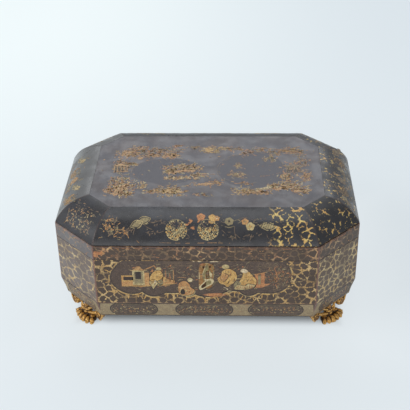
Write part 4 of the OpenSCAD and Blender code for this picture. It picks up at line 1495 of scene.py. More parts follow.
def rim_lines(side):
    """The fine line under the rim's fillet and the worn patch at the front's left end."""
    top = Z_RIM - Z_LID
    b = Brush(on_wall(side, Z_LID), 90 + side, limits=(WALL_H - BEVEL_FOOT if side == BACK else 0, top))
    half = side_length(side) / 2 - (6 if abs(side - BACK) == 1 else 3)
    b.line([(-half, 0.75), (0, 0.75), (half, 0.75)], 1.4, INK, 0.05, 1)
    b.line([(-half, top - 2.2), (0, top - 2.2), (half, top - 2.2)], 0.6, RUST, 0.1, 0.12)
    b.line([(-half, top - 4.6), (0, top - 4.6), (half, top - 4.6)], 0.5, FAINT, 0.08, 0.05)
    scribble(b.at(0, top / 2), 2 * half - 8, top - 6, int(half / 2), (TAN, RUST, FAINT), 2.6, 0.5)
    if side == FRONT:
        b.fill(
            flowing([(-128, 5), (-127, 12), (-121, 11), (-117.6, 12.8), (-118, 6), (-122, 7.4),
            (-124, 4)]), RUST, 0.13
        )
        b.line([(-119, 6.4), (-116.4, 9.6), (-118.4, 12.4)], 0.9, TAN, 0.16)
    b.build(f"gilding_rim_{SIDES[side]}", "lid", "lacquer_lid")


def front_dome():
    b = Brush(on_dome(FRONT), 31, 3.0)
    for x, r in ((-33, 12.2), (3.2, 12)):
        chrysanthemum(b.at(x, 18.4), r)
        b.line([(x - 9, 28), (x - 2, 31.4), (x + 7, 29)], 0.8, OLIVE, 0.12, 0.4)
    blossom(b.at(-5.2, 34.6), 5.4, RUST, TAN)
    blossom(b.at(7.6, 34.2), 4.6, GOLD, CREAM)
    b.fill(oval(7.4, 34.6, 2.7, 3.1), GOLD, 0.2)
    blossom(b.at(13, 32.8), 3.6, TAN, CREAM)
    b.at(4, 27, turn=20).fill(petal(8, 4.6), GOLD, 0.16)
    for x, v, turn in (
        (-20, 26, 30), (-14, 29, 160), (-12, 22, 200), (-17, 21, -20), (-9, 27, 60), (-24, 24, 10)
    ):
        b.at(x, v, turn=turn).fill(petal(5.6, 2.4), b.dice.choice((TAN, GOLD, RUST)), 0.13)
    leaf(b.at(-86, 21.4, turn=24), 16, 10)
    leaf(b.at(-79, 27.6, turn=16), 17, 10)
    blossom(b.at(27, 29), 5.4, OLIVE, INK, 6)
    b.line([(32, 29.4), (37, 31), (40, 28.4), (36.6, 26.6)], 0.8, OLIVE, 0.12)
    b.line([(22, 22.6), (27, 21.4), (33, 23)], 0.9, OLIVE, 0.12, 0.4)
    blossom(b.at(45, 28.6), 4.4, TAN, OLIVE)
    blossom(b.at(51, 22.8), 5.4, PALE, GOLD)
    leaf(b.at(61, 23.6, turn=-4), 20, 9.6, OLIVE, PALE)
    for k in range(5):
        b.line([(64 + 2.7 * k, 20), (66.6 + 2.7 * k, 27)], 0.5, PALE, 0.16, 0.5)
    for path in (
        [(-68, 29), (-60, 27.4), (-52, 29)], [(-70, 24), (-64, 20), (-58, 18)],
        [(-80, 20), (-82, 12), (-79, 7)],
        [(15, 22), (20, 17), (26, 12)], [(34, 14), (40, 9), (46, 12), (49, 10)],
        [(34, 26), (33, 18), (35, 8)],
        [(53, 18), (52, 11), (50, 5)], [(70, 18), (70, 12), (72, 8)], [(80, 24), (88, 25), (94, 23)],
        [(-22, 14), (-18, 10), (-20, 5)], [(-45, 18), (-52, 15), (-56, 16)],
        [(40, 33), (46, 34), (54, 31)],
    ):
        b.line(path, 0.6, FAINT, 0.1, 0.25)
    for x, v in ((-62, 27), (-54, 30), (-68, 15), (-62, 16), (26, 10), (47, 13), (56, 14)):
        spray(b.at(x, v, 0.9, turn=b.dice.uniform(-40, 60)), 8, FAINT, None, 3)
    tangle(b.at(-107, 21), 10, 12, 70, (TAN, FAINT, OLIVE), 80, 0.7, 40)
    tangle(b.at(-91, 15), 9, 7, 26, (TAN, FAINT), 60, 0.7, 40)
    b.line([(-84, 12), (-78, 6), (-74, 2)], 0.6, TAN, 0.12, 0.4)
    scribble(b.at(-110, 18), 24, 26, 26, (FAINT, OLIVE, TAN), 4)
    scribble(b.at(0, 22), 140, 32, 70, (FAINT, FAINT, OLIVE), 3.4, 0.45)
    b.line([(-52, 3.4), (-20, 3), (10, 3.6), (30, 3)], 0.45, TAN, 0.1, 0.1)
    b.build("gilding_dome_front", "lid", "lacquer_lid")


def faded_garland(side, seed, strength):
    """Flowers, leaves and stems along a side of the dome, worn faint."""
    b = Brush(on_dome(side), seed, 3.0)
    half = side_length(side) / 2 - 8
    paints = (TAN, PALE, OLIVE) if strength > 0.5 else (FAINT, OLIVE, FAINT)
    step = 21
    count = int(2 * half / step)
    for k in range(count):
        x = -half + 2 * half * (k + 0.5) / count + b.dice.uniform(-3, 3)
        v = b.dice.uniform(16, 30)
        reach = half + 4 - MITRE * dome_point(v, 0)[0]
        if abs(x) > reach - 6:
            continue
        kind = (k + seed) % 3
        if kind == 0:
            chrysanthemum(b.at(x, v), 9.5, paints[0], paints[2])
        elif kind == 1:
            blossom(b.at(x, v), 7, paints[0], paints[1])
            leaf(b.at(x + 5, v - 3, turn=-30), 12, 6, paints[2], paints[1])
        else:
            leaf(b.at(x - 8, v - 2, turn=25), 15, 8, paints[2], paints[1])
            blossom(b.at(x + 5, v + 6), 4.5, paints[1], paints[0])
        spray(b.at(x, max(v - 6, 18), turn=b.dice.uniform(190, 340)), 13, paints[0], None, 6)
        spray(b.at(x, v + 6, turn=b.dice.uniform(20, 160)), 11, paints[2], None, 5)
    scribble(b.at(0, 20), 2 * half - 24, 30, int(half * 0.8), paints + (FAINT,), 4)
    b.build(f"gilding_dome_{SIDES[side]}", "lid", "lacquer_lid", worn=True)


def corner_wisps(side, seed):
    """Thin plants and pale scratches on a canted side of the dome."""
    b = Brush(on_dome(side), seed, 3.0)
    for x, turn in ((-20, 96), (-13, 84), (-6, 100), (3, 82), (11, 96), (18, 88)):
        bend = b.dice.uniform(-3, 3)
        rise = 31 - abs(x) * 0.6
        b.at(x, 4, turn=turn).line(
            [(0, 0), (rise * 0.4, bend), (rise, -bend)], 0.7, b.dice.choice((OLIVE, TAN, FAINT)), 0.1,
            0.12
        )
        for k in range(5):
            b.at(x + b.dice.uniform(-2, 2), 7 + rise * k / 6, turn=b.dice.uniform(0, 180)).fill(
                petal(3.6, 1.4), b.dice.choice((OLIVE, TAN, FAINT, PALE)), 0.11
            )
    scribble(b.at(0, 21), 44, 32, 120, (FAINT, OLIVE, FAINT, TAN), 3.6)
    b.build(f"gilding_dome_{SIDES[side]}", "lid", "lacquer_lid", worn=True)


def top_painting():
    """What is left of two round landscapes and the garland of figures and rocks round them."""
    b = Brush(on_top, 51)
    bright = (GOLD, TAN, PALE, GOLD, RUST)
    warm = (TAN, RUST, GOLD, TAN)
    faded = (TAN, FAINT, OLIVE, RUST)
    for x, v, rx, ry in ((-50, -4, 43, 31), (54, -1, 42, 43)):
        b.fill(oval(x, v, rx, ry, 40), DUSK, 0.03)
    for x, v, rx, ry, first, last in (
        (54, -1, 43, 44, 0.8, 3.9), (54, -1, 40, 41, 1.4, 3.4), (-50, -4, 44, 32, 2.0, 4.0)
    ):
        turns = [first + (last - first) * k / 12 for k in range(13)]
        b.line([(x + rx * math.cos(t), v + ry * math.sin(t)) for t in turns], 0.7, FAINT, 0.07, 0.15)

    # The garland, from the left column over the back to the right column and the front
    for x, v, rx, ry, count, flow, paints in (
        (-104, 38, 13, 12, 90, 40, warm), (-92, 54, 10, 5, 30, 10, warm),
        (-63, 46, 24, 9, 110, 10, faded),
        (-72, 34, 14, 5, 40, 15, warm), (-48, 34, 10, 6, 60, 20, warm),
        (-42, 60, 6, 3, 20, 0, (RUST, TAN)),
        (-22, 55, 9, 5, 20, 0, faded), (0, 50, 12, 7, 70, 0, (GOLD, PALE, TAN)),
        (17, 54, 6, 3, 14, 0, bright),
        (46, 43, 9, 9, 40, -30, (RUST, TAN, FAINT)), (64, 50, 11, 6, 40, 0, faded),
        (101, 48, 13, 8, 70, 0, warm),
        (75, 28, 8, 9, 34, -50, (OLIVE, PALE, TAN)), (113, 40, 7, 8, 36, 60, faded),
        (-106, 4, 12, 11, 60, 80, faded), (-99, 12, 9, 4, 30, 20, bright),
        (-103, -44, 14, 18, 190, 60, bright),
        (-97, -60, 10, 8, 50, 70, bright), (-113, -31, 6, 8, 30, 90, faded),
        (-78, -40, 4, 8, 30, 80, bright),
        (-64, -52, 12, 4, 44, 0, bright), (-42, -52, 14, 11, 130, 10, bright),
        (-46, -2, 12, 11, 110, 10, bright),
        (-23, 3, 14, 9, 110, 10, bright), (-13, -15, 8, 5, 34, 0, bright),
        (-35, -20, 17, 4, 50, 0, bright),
        (-3, -36, 16, 2.5, 34, 10, warm), (9, -30, 8, 2, 16, 20, warm), (-8, -60, 12, 3, 20, 0, faded),
        (35, 8, 4, 5, 14, 0, (PALE, TAN)), (35, -13, 11, 7, 46, 0, (PALE, TAN, FAINT)),
        (45, -34, 11, 2, 20, 0, (RUST, FAINT, TAN)), (45, -51, 15, 8, 90, 0, (TAN, PALE, GOLD)),
        (65, -54, 10, 5, 50, 10, warm), (78, -43, 8, 7, 50, 40, bright),
        (94, -20, 9, 9, 50, 50, bright),
        (96, -39, 16, 11, 130, 30, bright), (110, -48, 10, 9, 70, 0, bright),
        (104, 2, 12, 13, 60, 80, faded),
        (-112, 14, 6, 12, 40, 70, faded), (-118, -52, 6, 8, 30, 60, warm),
        (-84, 44, 12, 8, 40, 10, faded),
        (30, 52, 10, 5, 24, 0, faded), (82, 44, 10, 7, 34, 0, faded), (116, 18, 8, 12, 40, 80, faded),
        (118, -16, 8, 14, 50, 70, warm), (0, -2, 120, 60, 60, 0, faded),
    ):
        tangle(b.at(x, v), rx * 1.1, ry * 1.1, int(count * 1.5), paints, flow, 0.85, 40)

    # Shapes that can still be made out
    for x, v, size, turn, wide, high, paint in (
        (-102, 40, 1.0, 40, 22, 6, TAN), (-101, -50, 1.0, 60, 30, 13, TAN),
        (-42, -55, 1.0, 4, 24, 8, GOLD),
        (-48, 32, 1.0, 14, 15, 5, RUST), (101, 45, 1.0, 0, 17, 5, TAN), (92, -44, 1.0, 30, 24, 8, TAN),
        (-30, -6, 1.0, 6, 30, 6, TAN), (112, -52, 1.0, 4, 18, 6, TAN), (48, -56, 1.0, 0, 22, 5, TAN),
    ):
        rock(b.at(x, v, size, turn), wide, high, paint)
    hall(b.at(-107, -6, 0.8, 6), 20, 18, 4, TAN)
    hall(b.at(105, -6, 0.8), 22, 18, 4, FAINT)
    fence(b.at(26, -17), 18, 6, TAN)
    tree(b.at(-104, -36, 0.9), 24, PALE, TAN)
    tree(b.at(-34, 0, 0.8), 16, PALE, TAN)
    blossom(b.at(0, 50), 6, GOLD, TAN, 8)
    blossom(b.at(-86, 28), 4, TAN, GOLD)
    boat(b.at(-3, -37, 0.9, 8), 26, TAN)
    boat(b.at(70, -46, 1.0, 20), 18, PALE)
    for k in range(5):
        figure(b.at(-50 + 9 * k, -24, 0.3, flip=(-1) ** k), b.dice.choice((GOLD, TAN)), PALE)
    b.line([(40, -12), (60, -17), (75, -14), (92, -6)], 0.6, RUST, 0.09, 0.1)
    b.line([(44, 14), (60, 8), (78, 10)], 0.5, RUST, 0.09, 0.1)
    b.build("gilding_top", "lid", "lacquer_lid", worn=True)


def gilding():
    front_wall()
    for side in (RIGHT, BACK, LEFT):
        garden_wall(side, 20 + side)
    for side in range(8):
        base_band(side)
        rim_lines(side)
    front_dome()
    for side, seed, strength in ((RIGHT, 41, 0.4), (BACK, 42, 0.8), (LEFT, 43, 0.8)):
        faded_garland(side, seed, strength)
    for side in (FRONT_LEFT, BACK + 1, BACK - 1):
        corner_wisps(side, 60 + side)
    top_painting()


gilding()


# The carved feet, in the frame of the canted side above each


class Lump:
    """Overlapping closed shapes in millimetres, later joined into one skin."""

    def __init__(self):
        self.points = []
        self.faces = []
        self.count = 0
        globe = bmesh.new()
        bmesh.ops.create_icosphere(globe, subdivisions=2, radius=1)
        self.globe = np.array([v.co for v in globe.verts])
        self.patches = [[v.index for v in f.verts] for f in globe.faces]
        globe.free()

    def take(self, points, faces):
        self.points.append(np.asarray(points, float))
        self.faces += [[n + self.count for n in face] for face in faces]
        self.count += len(points)

    def ball(self, centre, radii):
        self.take(self.globe * radii + centre, self.patches)

    def drum(self, centre, radius, half, axis, taper=1.0, count=40):
        """A round bar along an axis, 1 for Y and 2 for Z."""
        turns = np.arange(count) * math.tau / count
        rings = []
        for end, r in ((-half, radius), (half, radius * taper)):
            flat = [r * np.cos(turns), r * np.sin(turns)]
            flat.insert(axis, np.full(count, end))
            rings.append(np.stack(flat, 1))
        sides = [(j, (j + 1) % count, count + (j + 1) % count, count + j) for j in range(count)]
        caps = [tuple(range(count))[::-1], tuple(range(count, 2 * count))]
        faces = sides + caps
        if axis == 1:
            faces = [face[::-1] for face in faces]
        self.take(np.concatenate(rings) + centre, faces)

    def bar(self, low, high):
        xs, ys, zs = zip(low, high)
        points = [(x, y, z) for z in zs for y in ys for x in xs]
        faces = [(0, 2, 3, 1), (4, 5, 7, 6), (0, 1, 5, 4), (2, 6, 7, 3), (0, 4, 6, 2), (1, 3, 7, 5)]
        self.take(points, faces)

    def mesh(self, name):
        made = bpy.data.meshes.new(name)
        made.from_pydata(np.concatenate(self.points).tolist(), [], self.faces)
        return made


def bead(lump, path):
    """A rounded strand through points that each have a radius last."""
    length = sum(math.dist(a[:3], b[:3]) for a, b in zip(path, path[1:]))
    thin = min(p[3] for p in path)
    count = max(2, int(length / (0.55 * thin + 0.25)))
    for k in range(count + 1):
        x, y, z, r = through(path, k / count)
        lump.ball((x, y, z), max(r, 0.3))


def volute(lump, x, y, z, hand, r=4.3, turns=1.6):
    """A carved spiral with a boss in its middle."""
    steps = 7
    count = int(steps * turns)
    path = []
    for k in range(count + 1):
        t = k / count
        angle = math.pi / 2 + hand * math.tau * turns * t
        reach = r * (1 - 0.72 * t)
        path.append(
            (x + reach * math.cos(angle), y - 0.4 * t, z + reach * math.sin(angle), 1.55 - 0.5 * t)
        )
    bead(lump, path)
    lump.ball((x, y - 0.5, z), 1.35)


FOOT_H = Z_FOOT
LOBE_X = 22.0
LOBE_Z = 12.9
PAW_U = 3.4
TOES = ((-14.6, 3.6), (-9.2, 0.9), (-3.2, -0.8), (3.2, -1.5), (9.4, -0.9), (14.8, 2.2))


def carve_foot(paw_shift, front):
    """Low toes round a dark hollow, a knee with a boss, and a bracket with a volute on each side."""
    lump = Lump()
    lump.bar((-31.5, 8.2, FOOT_H - 1.8), (31.5, 16, FOOT_H))
    for hand in (-1, 1):
        lump.drum((hand * LOBE_X, 13.0, LOBE_Z), 5.0, 3.0, 1)
        lump.drum((hand * 24.6, 13.0, 16.8), 5.2, 3.0, 1)
        volute(lump, hand * LOBE_X, 9.8, LOBE_Z, -hand, 4.6)
        bead(lump, [
            (hand * 30.8, 9.8, 19.4, 1.5), (hand * 29.8, 9.6, 15.6, 1.6), (hand * 27.6, 9.5, 11.0, 1.4),
            (hand * 25.0, 9.6, 7.8, 1.1),
        ])
        bead(
            lump, [(hand * 22.0, 9.8, 19.2, 1.5), (hand * 17.6, 9.8, 19.4, 1.3),
            (hand * 9.0, 9.6, 19.6, 1.5)]
        )
        if hand == front:
            arm = (13.4, 9.4, 12.4, 2.2), (18.0, 10, 14.6, 2.0)
        else:
            arm = (9.4, 9.0, 13.6, 1.6), (8.6, 9.4, 18.4, 1.5)
        bead(
            lump, [(hand * x, u, z, r) for x, u, z, r in ((2.6, 8.6, 9.2, 1.9), (7.6, 8.6, 10.2,
            2.1)) + arm]
        )
        bead(
            lump, [(hand * 4.6, 8.0, 15.4, 1.3), (hand * 7.8, 8.2, 17.4, 1.3),
            (hand * 10.8, 8.8, 19.2, 1.0)]
        )
        lump.ball((hand * 9.6 + paw_shift, 9.2, 3.8), (6.0, 4.6, 4.9))
    bead(lump, [(0, 12.4, 20.4, 5.2), (0, 11.6, 16, 4.9), (0, 11.4, 11, 4.8), (0, 10.4, 5.5, 5.6)])
    bead(
        lump, [(-4.6, 8.6, 13.4, 1.2), (-2.4, 7.4, 12.8, 1.5), (0, 7.0, 12.6, 1.6),
        (2.4, 7.4, 12.8, 1.5), (4.6, 8.6, 13.4, 1.2)]
    )
    lump.ball((0.4, 7.8, 9.2), 3.1)
    lump.ball((paw_shift * 0.5, 7.6, 2.2), (14.0, 6.0, 2.8))
    for tip_x, tip_u in TOES:
        x = tip_x + paw_shift
        bead(lump, [
            (x * 0.74, 6.8, 3.2, 2.4), (x * 0.86, tip_u + 4.4, 4.2, 3.0),
            (x * 0.95, tip_u + 2.6, 3.7, 3.3),
            (x, tip_u + 1.3, 2.2, 2.8), (x * 1.02, tip_u - 0.3, 1.0, 1.1),
        ])
    for hand in (-1, 1):
        # The pointed leaf at each end of the paw
        bead(lump, [
            (hand * 10.0 + paw_shift, 8.0, 6.2, 1.8), (hand * 13.6 + paw_shift, 6.4, 5.4, 1.7),
            (hand * 16.4 + paw_shift, 4.6, 4.4, 1.0), (hand * 18.2 + paw_shift, 3.4, 4.0, 0.4),
        ])
    lump.drum((0, PAW_U, 1.5), 5.5, 1.5, 2, 1.07)
    return lump


def neighbour_mean(values, ends, count):
    total = np.zeros_like(values)
    np.add.at(total, ends[:, 0], values[ends[:, 1]])
    np.add.at(total, ends[:, 1], values[ends[:, 0]])
    return total / count[:, None]


def hollows(mesh, painted_recess_shade):
    """Stores how deep each point lies, below 0 on a ridge and above 0 in a hollow, with the painted
    shade behind the toes and on faces turned down added.
    """
    size = len(mesh.vertices)
    spots = np.empty(size * 3)
    mesh.vertices.foreach_get("co", spots)
    spots = spots.reshape(-1, 3)
    normals = np.empty(size * 3, np.float32)
    mesh.vertices.foreach_get("normal", normals)
    normals = normals.reshape(-1, 3).astype(float)
    ends = np.empty(len(mesh.edges) * 2, np.int32)
    mesh.edges.foreach_get("vertices", ends)
    ends = ends.reshape(-1, 2)
    count = np.maximum(np.bincount(ends.ravel(), minlength=size), 1).astype(float)
    soft = spots.copy()
    depth = np.zeros(size)
    for turn in range(14):
        soft = neighbour_mean(soft, ends, count)
        if turn in (3, 13):
            depth += ((soft - spots) * normals).sum(1) / MM
    depth = neighbour_mean(depth[:, None], ends, count)[:, 0] + painted_recess_shade
    mesh.attributes.new("hollow", "FLOAT", "POINT").data.foreach_set("value", depth.astype(np.float32))


def gilt_wood():
    """Gilding over red: a painted highlight on the ridges, dirt and painted shade in the hollows,
    behind the toes and under overhangs, rubbed through in places.
    """
    shade = Shade("gilt_wood")
    place = shade.where()
    # How deep each point lies, with the painted shade behind the toes and on faces turned down added
    depth = shade.node("ShaderNodeAttribute", out="Fac", attribute_name="hollow")
    patch = shade.noise(place, 5.5, 4, 0.65)
    fine = shade.noise(place, 1.1, 3, 0.6)
    gold = shade.mix(shade.step(patch, 0.35, 0.65), srgb(198, 141, 60), srgb(152, 100, 38))
    # Painted highlight on the ridges
    gold = shade.mix(shade.step(depth, 0.0, -0.5, (0, 0.8)), gold, srgb(234, 188, 108))
    gold = shade.mix(shade.step(fine, 0.5, 0.75, (0, 0.5)), gold, srgb(128, 84, 34))
    red = shade.step(shade.noise(shade.add(place, (9, 4, 2)), 4.2, 5, 0.7), 0.58, 0.66, (0, 0.7))
    gold = shade.mix(red, gold, srgb(120, 56, 34))
    # Dirt and painted shade in the hollows, behind the toes and under overhangs
    dirt_and_shade = shade.math("ADD", depth, shade.math("MULTIPLY", shade.math("SUBTRACT", patch, 0.5), 0.7))
    dirt_and_shade = shade.step(dirt_and_shade, -0.28, 0.26)
    colour = shade.mix(shade.math("MULTIPLY", dirt_and_shade, 0.93), gold, srgb(50, 34, 22))
    return shade.finish(
        Base_Color=colour,
        Roughness=shade.step(dirt_and_shade, 0, 1, (0.3, 0.6)),
        Metallic=0.35,
        Normal=shade.bump(fine, 0.15),
    )


def shade_behind_toes(spot):
    """How far a point lies in the shaded hollow between the knee and the toes, from 0 to 1, for painted
    shade there.
    """
    shares = ((spot.y - 4.6) / 2.0, (7.4 - spot.z) / 1.6, (18 - abs(spot.x)) / 2)
    return math.prod(min(max(share, 0.0), 1.0) for share in shares)


def chip_and_place(mesh, place, seed):
    """Roughens a carved skin in millimetres, keeps it between the floor and the base, and places it;
    gives back each point's painted shade.
    """
    spots = [v.co.copy() for v in mesh.vertices]
    normals = [v.normal.copy() for v in mesh.vertices]
    out = []
    for spot, normal in zip(spots, normals):
        moved = spot + normal * 0.22 * noise.fractal(spot * 0.42 + seed, 1.0, 2.0, 3)
        moved.z = min(max(moved.z, 0.0), FOOT_H)
        out.extend((place @ moved) * MM)
    mesh.vertices.foreach_set("co", out)
    # Painted shade: the hollow behind the toes, and a little on faces turned down
    under = [min(max((-normal.z - 0.15) / 0.6, 0.0), 1.0) for normal in normals]
    return np.array([shade_behind_toes(spot) + 0.3 * share for spot, share in zip(spots, under)])


def feet():
    look = gilt_wood()
    for name, side, shift in (
        ("front_right", 1, 2.0), ("back_right", 3, -0.5), ("back_left", 5, 0.5), ("front_left", 7, 0.8),
    ):
        title = f"carved_foot_{name}"
        foot = bpy.data.objects.new(title, carve_foot(shift, 1 if side in (3, 7) else -1).mesh(title))
        bpy.context.scene.collection.objects.link(foot)
        union = foot.modifiers.new("union", "REMESH")
        union.mode = "VOXEL"
        union.voxel_size = 0.42
        ease = foot.modifiers.new("ease", "SMOOTH")
        ease.factor = 0.5
        ease.iterations = 5
        with_modifiers(foot)
        painted_recess_shade = chip_and_place(foot.data, side_frame(side), Vector((31.7 * side, 5.3, 2.1)))
        foot.data.update()
        foot.data.shade_smooth()
        hollows(foot.data, painted_recess_shade)
        foot.data.materials.append(look)
        settle(foot, "case", "gilt_wood", f"foot_{name}")


feet()


# Metal and the pieces that keep their CAD shape


def steel():
    """Dull steel with a little rust."""
    shade = Shade("dull_steel")
    place = shade.where()
    cloud = shade.noise(place, 3, 4, 0.6)
    colour = shade.mix(shade.step(cloud, 0.35, 0.65), srgb(138, 136, 134), srgb(104, 102, 102))
    rust = shade.step(shade.noise(shade.add(place, (5, 9, 3)), 2.2, 5, 0.7), 0.58, 0.7, (0, 0.8))
    colour = shade.mix(rust, colour, srgb(98, 62, 42))
    return shade.finish(Base_Color=colour, Metallic=0.8, Roughness=0.4, Normal=shade.bump(cloud, 0.05))


def dowel_wood():
    shade = Shade("pale_hardwood")
    place = shade.where()
    grain = shade.noise(shade.scale(place, (1, 1, 0.08)), 0.8, 4, 0.6)
    colour = shade.mix(shade.step(grain, 0.35, 0.65), srgb(176, 138, 96), srgb(138, 100, 66))
    return shade.finish(Base_Color=colour, Roughness=0.6, Normal=shade.bump(grain, 0.1))


def floor_lacquer():
    """The bottom board's black lacquer, dusty and scratched."""
    shade = Shade("lacquer_bottom")
    place = shade.where()
    cloud = shade.step(shade.noise(place, 34, 4, 0.6), 0.35, 0.65)
    colour = shade.mix(cloud, srgb(44, 37, 38), srgb(54, 46, 45))
    fine = shade.noise(place, 1.2, 3, 0.7)
    colour = shade.mix(shade.step(fine, 0.5, 0.85, (0, 0.5)), colour, srgb(76, 64, 60))
    scratch = shade.noise(shade.scale(place, (0.05, 1, 1)), 0.9, 2, 0.5)
    colour = shade.mix(shade.step(scratch, 0.66, 0.72, (0, 0.3)), colour, srgb(112, 96, 88))
    return shade.finish(
        Base_Color=colour, Roughness=shade.step(cloud, 0, 1, (0.34, 0.48)),
        Normal=shade.bump(fine, 0.08)
    )


def keyhole(x, z, r=1.9, foot=1.25, drop=7.6, steps=14):
    """A round eye over a slot that widens downwards."""
    turn = math.asin(foot * 0.8 / r)
    first, last = -math.pi / 2 + turn, 1.5 * math.pi - turn
    turns = [first + (last - first) * k / steps for k in range(steps + 1)]
    return [
        (x + r * math.cos(t), z + r * math.sin(t)) for t in turns
    ] + [(x - foot, z - drop), (x + foot, z - drop)]


def scaled(outline, centre, by):
    return [(centre[0] + (x - centre[0]) * by, centre[1] + (y - centre[1]) * by) for x, y in outline]


def key_plate():
    """The pierced plate: a flange, a dish with two eyes over a rib, a keyhole and an aslant leaf, with
    painted shade in the eyes, the keyhole and the leaf's hollow and painted highlights on its edges.
    """
    low, high = corner("escutcheon", 0), corner("escutcheon", 1)
    dish = 0.7
    b = Brush(lambda a, v, h: Vector((a, low.y + dish - h, Z_WALL + v)), 5)
    level = low.y + dish + HALF_D - SKIN  # the lacquer's height above the floor of the dish
    back = low.y + dish - high.y
    shift = [(x, z - Z_WALL) for x, z in escutcheon_outline(0.0)]
    inner = [(x, z - Z_WALL) for x, z in escutcheon_outline(1.3)]
    hole = keyhole(2.2, 44.2, 1.8, 1.4, 7.6)
    ring = keyhole(2.2, 44.2, 2.4, 2.0, 8.2)
    b.fill(shift, WARM, 0.0, holes=(ring,), foot=back)
    # The keyhole is lined with painted shade
    b.fill(ring, SHADOW, 0.1, holes=(hole,), foot=back)
    flange = flowing([
        (-7.5, 51.2), (-5.2, 55.6), (-2.0, 57.6), (1.2, 58.4), (4.4, 57.2), (7.2, 54.6), (7.9, 50.1),
        (8.8, 46.1),
        (9.7, 41.4), (8.9, 37.3), (8.5, 32.5), (7.6, 28.6), (3, 25), (-2, 21.8), (-5.9, 20.4),
        (-7.9, 21.8), (-8.2, 30), (-8.1, 41),
    ])
    b.fill(flange, WARM, level + 0.1, holes=(inner,), foot=level - 0.1)
    # The eyes are dark ovals of painted shade
    for x, v, rx, ry in ((-2.5, 52.0, 1.5, 2.3), (4.9, 52.6, 1.6, 1.7)):
        eye = oval(x, v, rx, ry, 20)
        b.fill(eye, SHADOW, 0.2)
        b.line(eye + eye[:1], 0.6, WARM, 0.4)
    rib = [
        (1.2, 57), (-0.6, 51.6), (-3.0, 45), (-4.3, 37.5), (-3.0, 33.4), (-0.8, 34.6), (-0.2, 41),
        (0.8, 46.6), (2.6, 47.4), (2.8, 51.4)
    ]
    b.fill(flowing(rib), VERDIGRIS, 0.32)
    # Painted highlights along the rib and on the right cheek
    b.line([(1.0, 56.6), (-1.2, 50), (-3.6, 42), (-4.2, 37)], 0.9, PAINTED_HIGHLIGHT, 0.42)
    b.line([(1.6, 56), (3.2, 51), (4.6, 47.4), (6.6, 43.8)], 0.8, VERDIGRIS, 0.42)
    cheek = [(4.3, 47.4), (5.6, 46), (7.2, 42.8), (7.6, 39.6), (6.2, 37.2), (4.6, 38.4), (4.3, 43)]
    b.fill(flowing(cheek), PAINTED_HIGHLIGHT, 0.4)
    b.line([(7.4, 54.2), (8.1, 50), (9.0, 45.8), (9.3, 41.4), (8.7, 36)], 1.0, VERDIGRIS, level + 0.18)
    # Painted highlights along the flange's upper and left edges
    b.line(
        [(-6.8, 52.6), (-4.6, 55.4), (-1.6, 57.2), (1.2, 57.8), (4.2, 56.6)], 0.6, PAINTED_HIGHLIGHT, level + 0.14,
        0.3
    )
    b.line([(-7.6, 46), (-7.4, 36), (-7.6, 27)], 0.7, PAINTED_HIGHLIGHT, level + 0.14, 0.1)
    leaf_edge = [
        (-8.0, 21.6), (-7.0, 25.2), (-3.6, 28.8), (-0.4, 33), (2.4, 35), (5.6, 36), (8.4, 34.6),
        (8.7, 31.4), (7.0, 28.4),
        (3.4, 26.2), (-0.2, 23.6), (-3.6, 21.2), (-6.2, 20.0),
    ]
    # The leaf is painted as highlight, round a greener hollow
    whole = flowing(leaf_edge)
    b.fill(whole, PAINTED_HIGHLIGHT, level + 0.16, foot=0.0)
    hollow = scaled(whole, (0.2, 28.4), 0.7)
    b.fill(hollow, VERDIGRIS, level + 0.185, foot=level)
    # Painted shade on the lower left of the leaf's hollow
    b.fill([p for p in hollow if p[0] < 0.4], SHADOW, level + 0.205, foot=level)
    # A painted highlight round the leaf's rim and a spot on it
    b.line(whole + whole[:1], 0.8, PAINTED_HIGHLIGHT, level + 0.22)
    b.dot(-0.2, 34.4, 1.3, PAINTED_HIGHLIGHT, level + 0.22)
    b.build("key_plate", "case", "brass", nodes=("escutcheon",))


def clothe(looks_of):
    """Gives the CAD pieces that stay their materials."""
    for start, look in looks_of:
        for name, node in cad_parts.items():
            if name.startswith(start):
                for slot in node.material_slots:
                    slot.material = look


def remaining_pieces():
    old = brass("brass_old", ((176, 142, 88), (146, 116, 70), (96, 76, 48)))
    key_plate()
    dull = steel()
    clothe((
        # The lock case is painted shade, so that it looks dark through the keyhole
        ("hinge_", old), ("lock_", old), ("lock_case", LOOK["brass_painted_shade"]), ("strike_plate", old),
        ("escutcheon_tacks", old), ("hinge_body_screws", dull),
        ("hinge_lid_screws", dull), ("lock_bolt", dull), ("lock_spring", dull), ("lock_screws", dull),
        ("strike_screws", dull), ("foot_dowels", dowel_wood()), ("bottom_panel", floor_lacquer()),
    ))


remaining_pieces()


# Stage, light and camera


SHADOW_EDGE = (-34.5, -12)  # the edge of the painted shadow under the box, from the walls outwards, in millimetres
SHADOW_SHARE = (0.08, 0.83)  # how much of the floor's glow, its own colour painted in as light, the camera sees across that edge
FLOOR_FADE, FADE_SHARE = (0, 100), (0, 0.25)  # where that glow falls again further out, and by how much
FLOOR_REACH = 6.0  # half the floor's width in metres
SENSOR, LENS = 36, 83.2  # millimetres


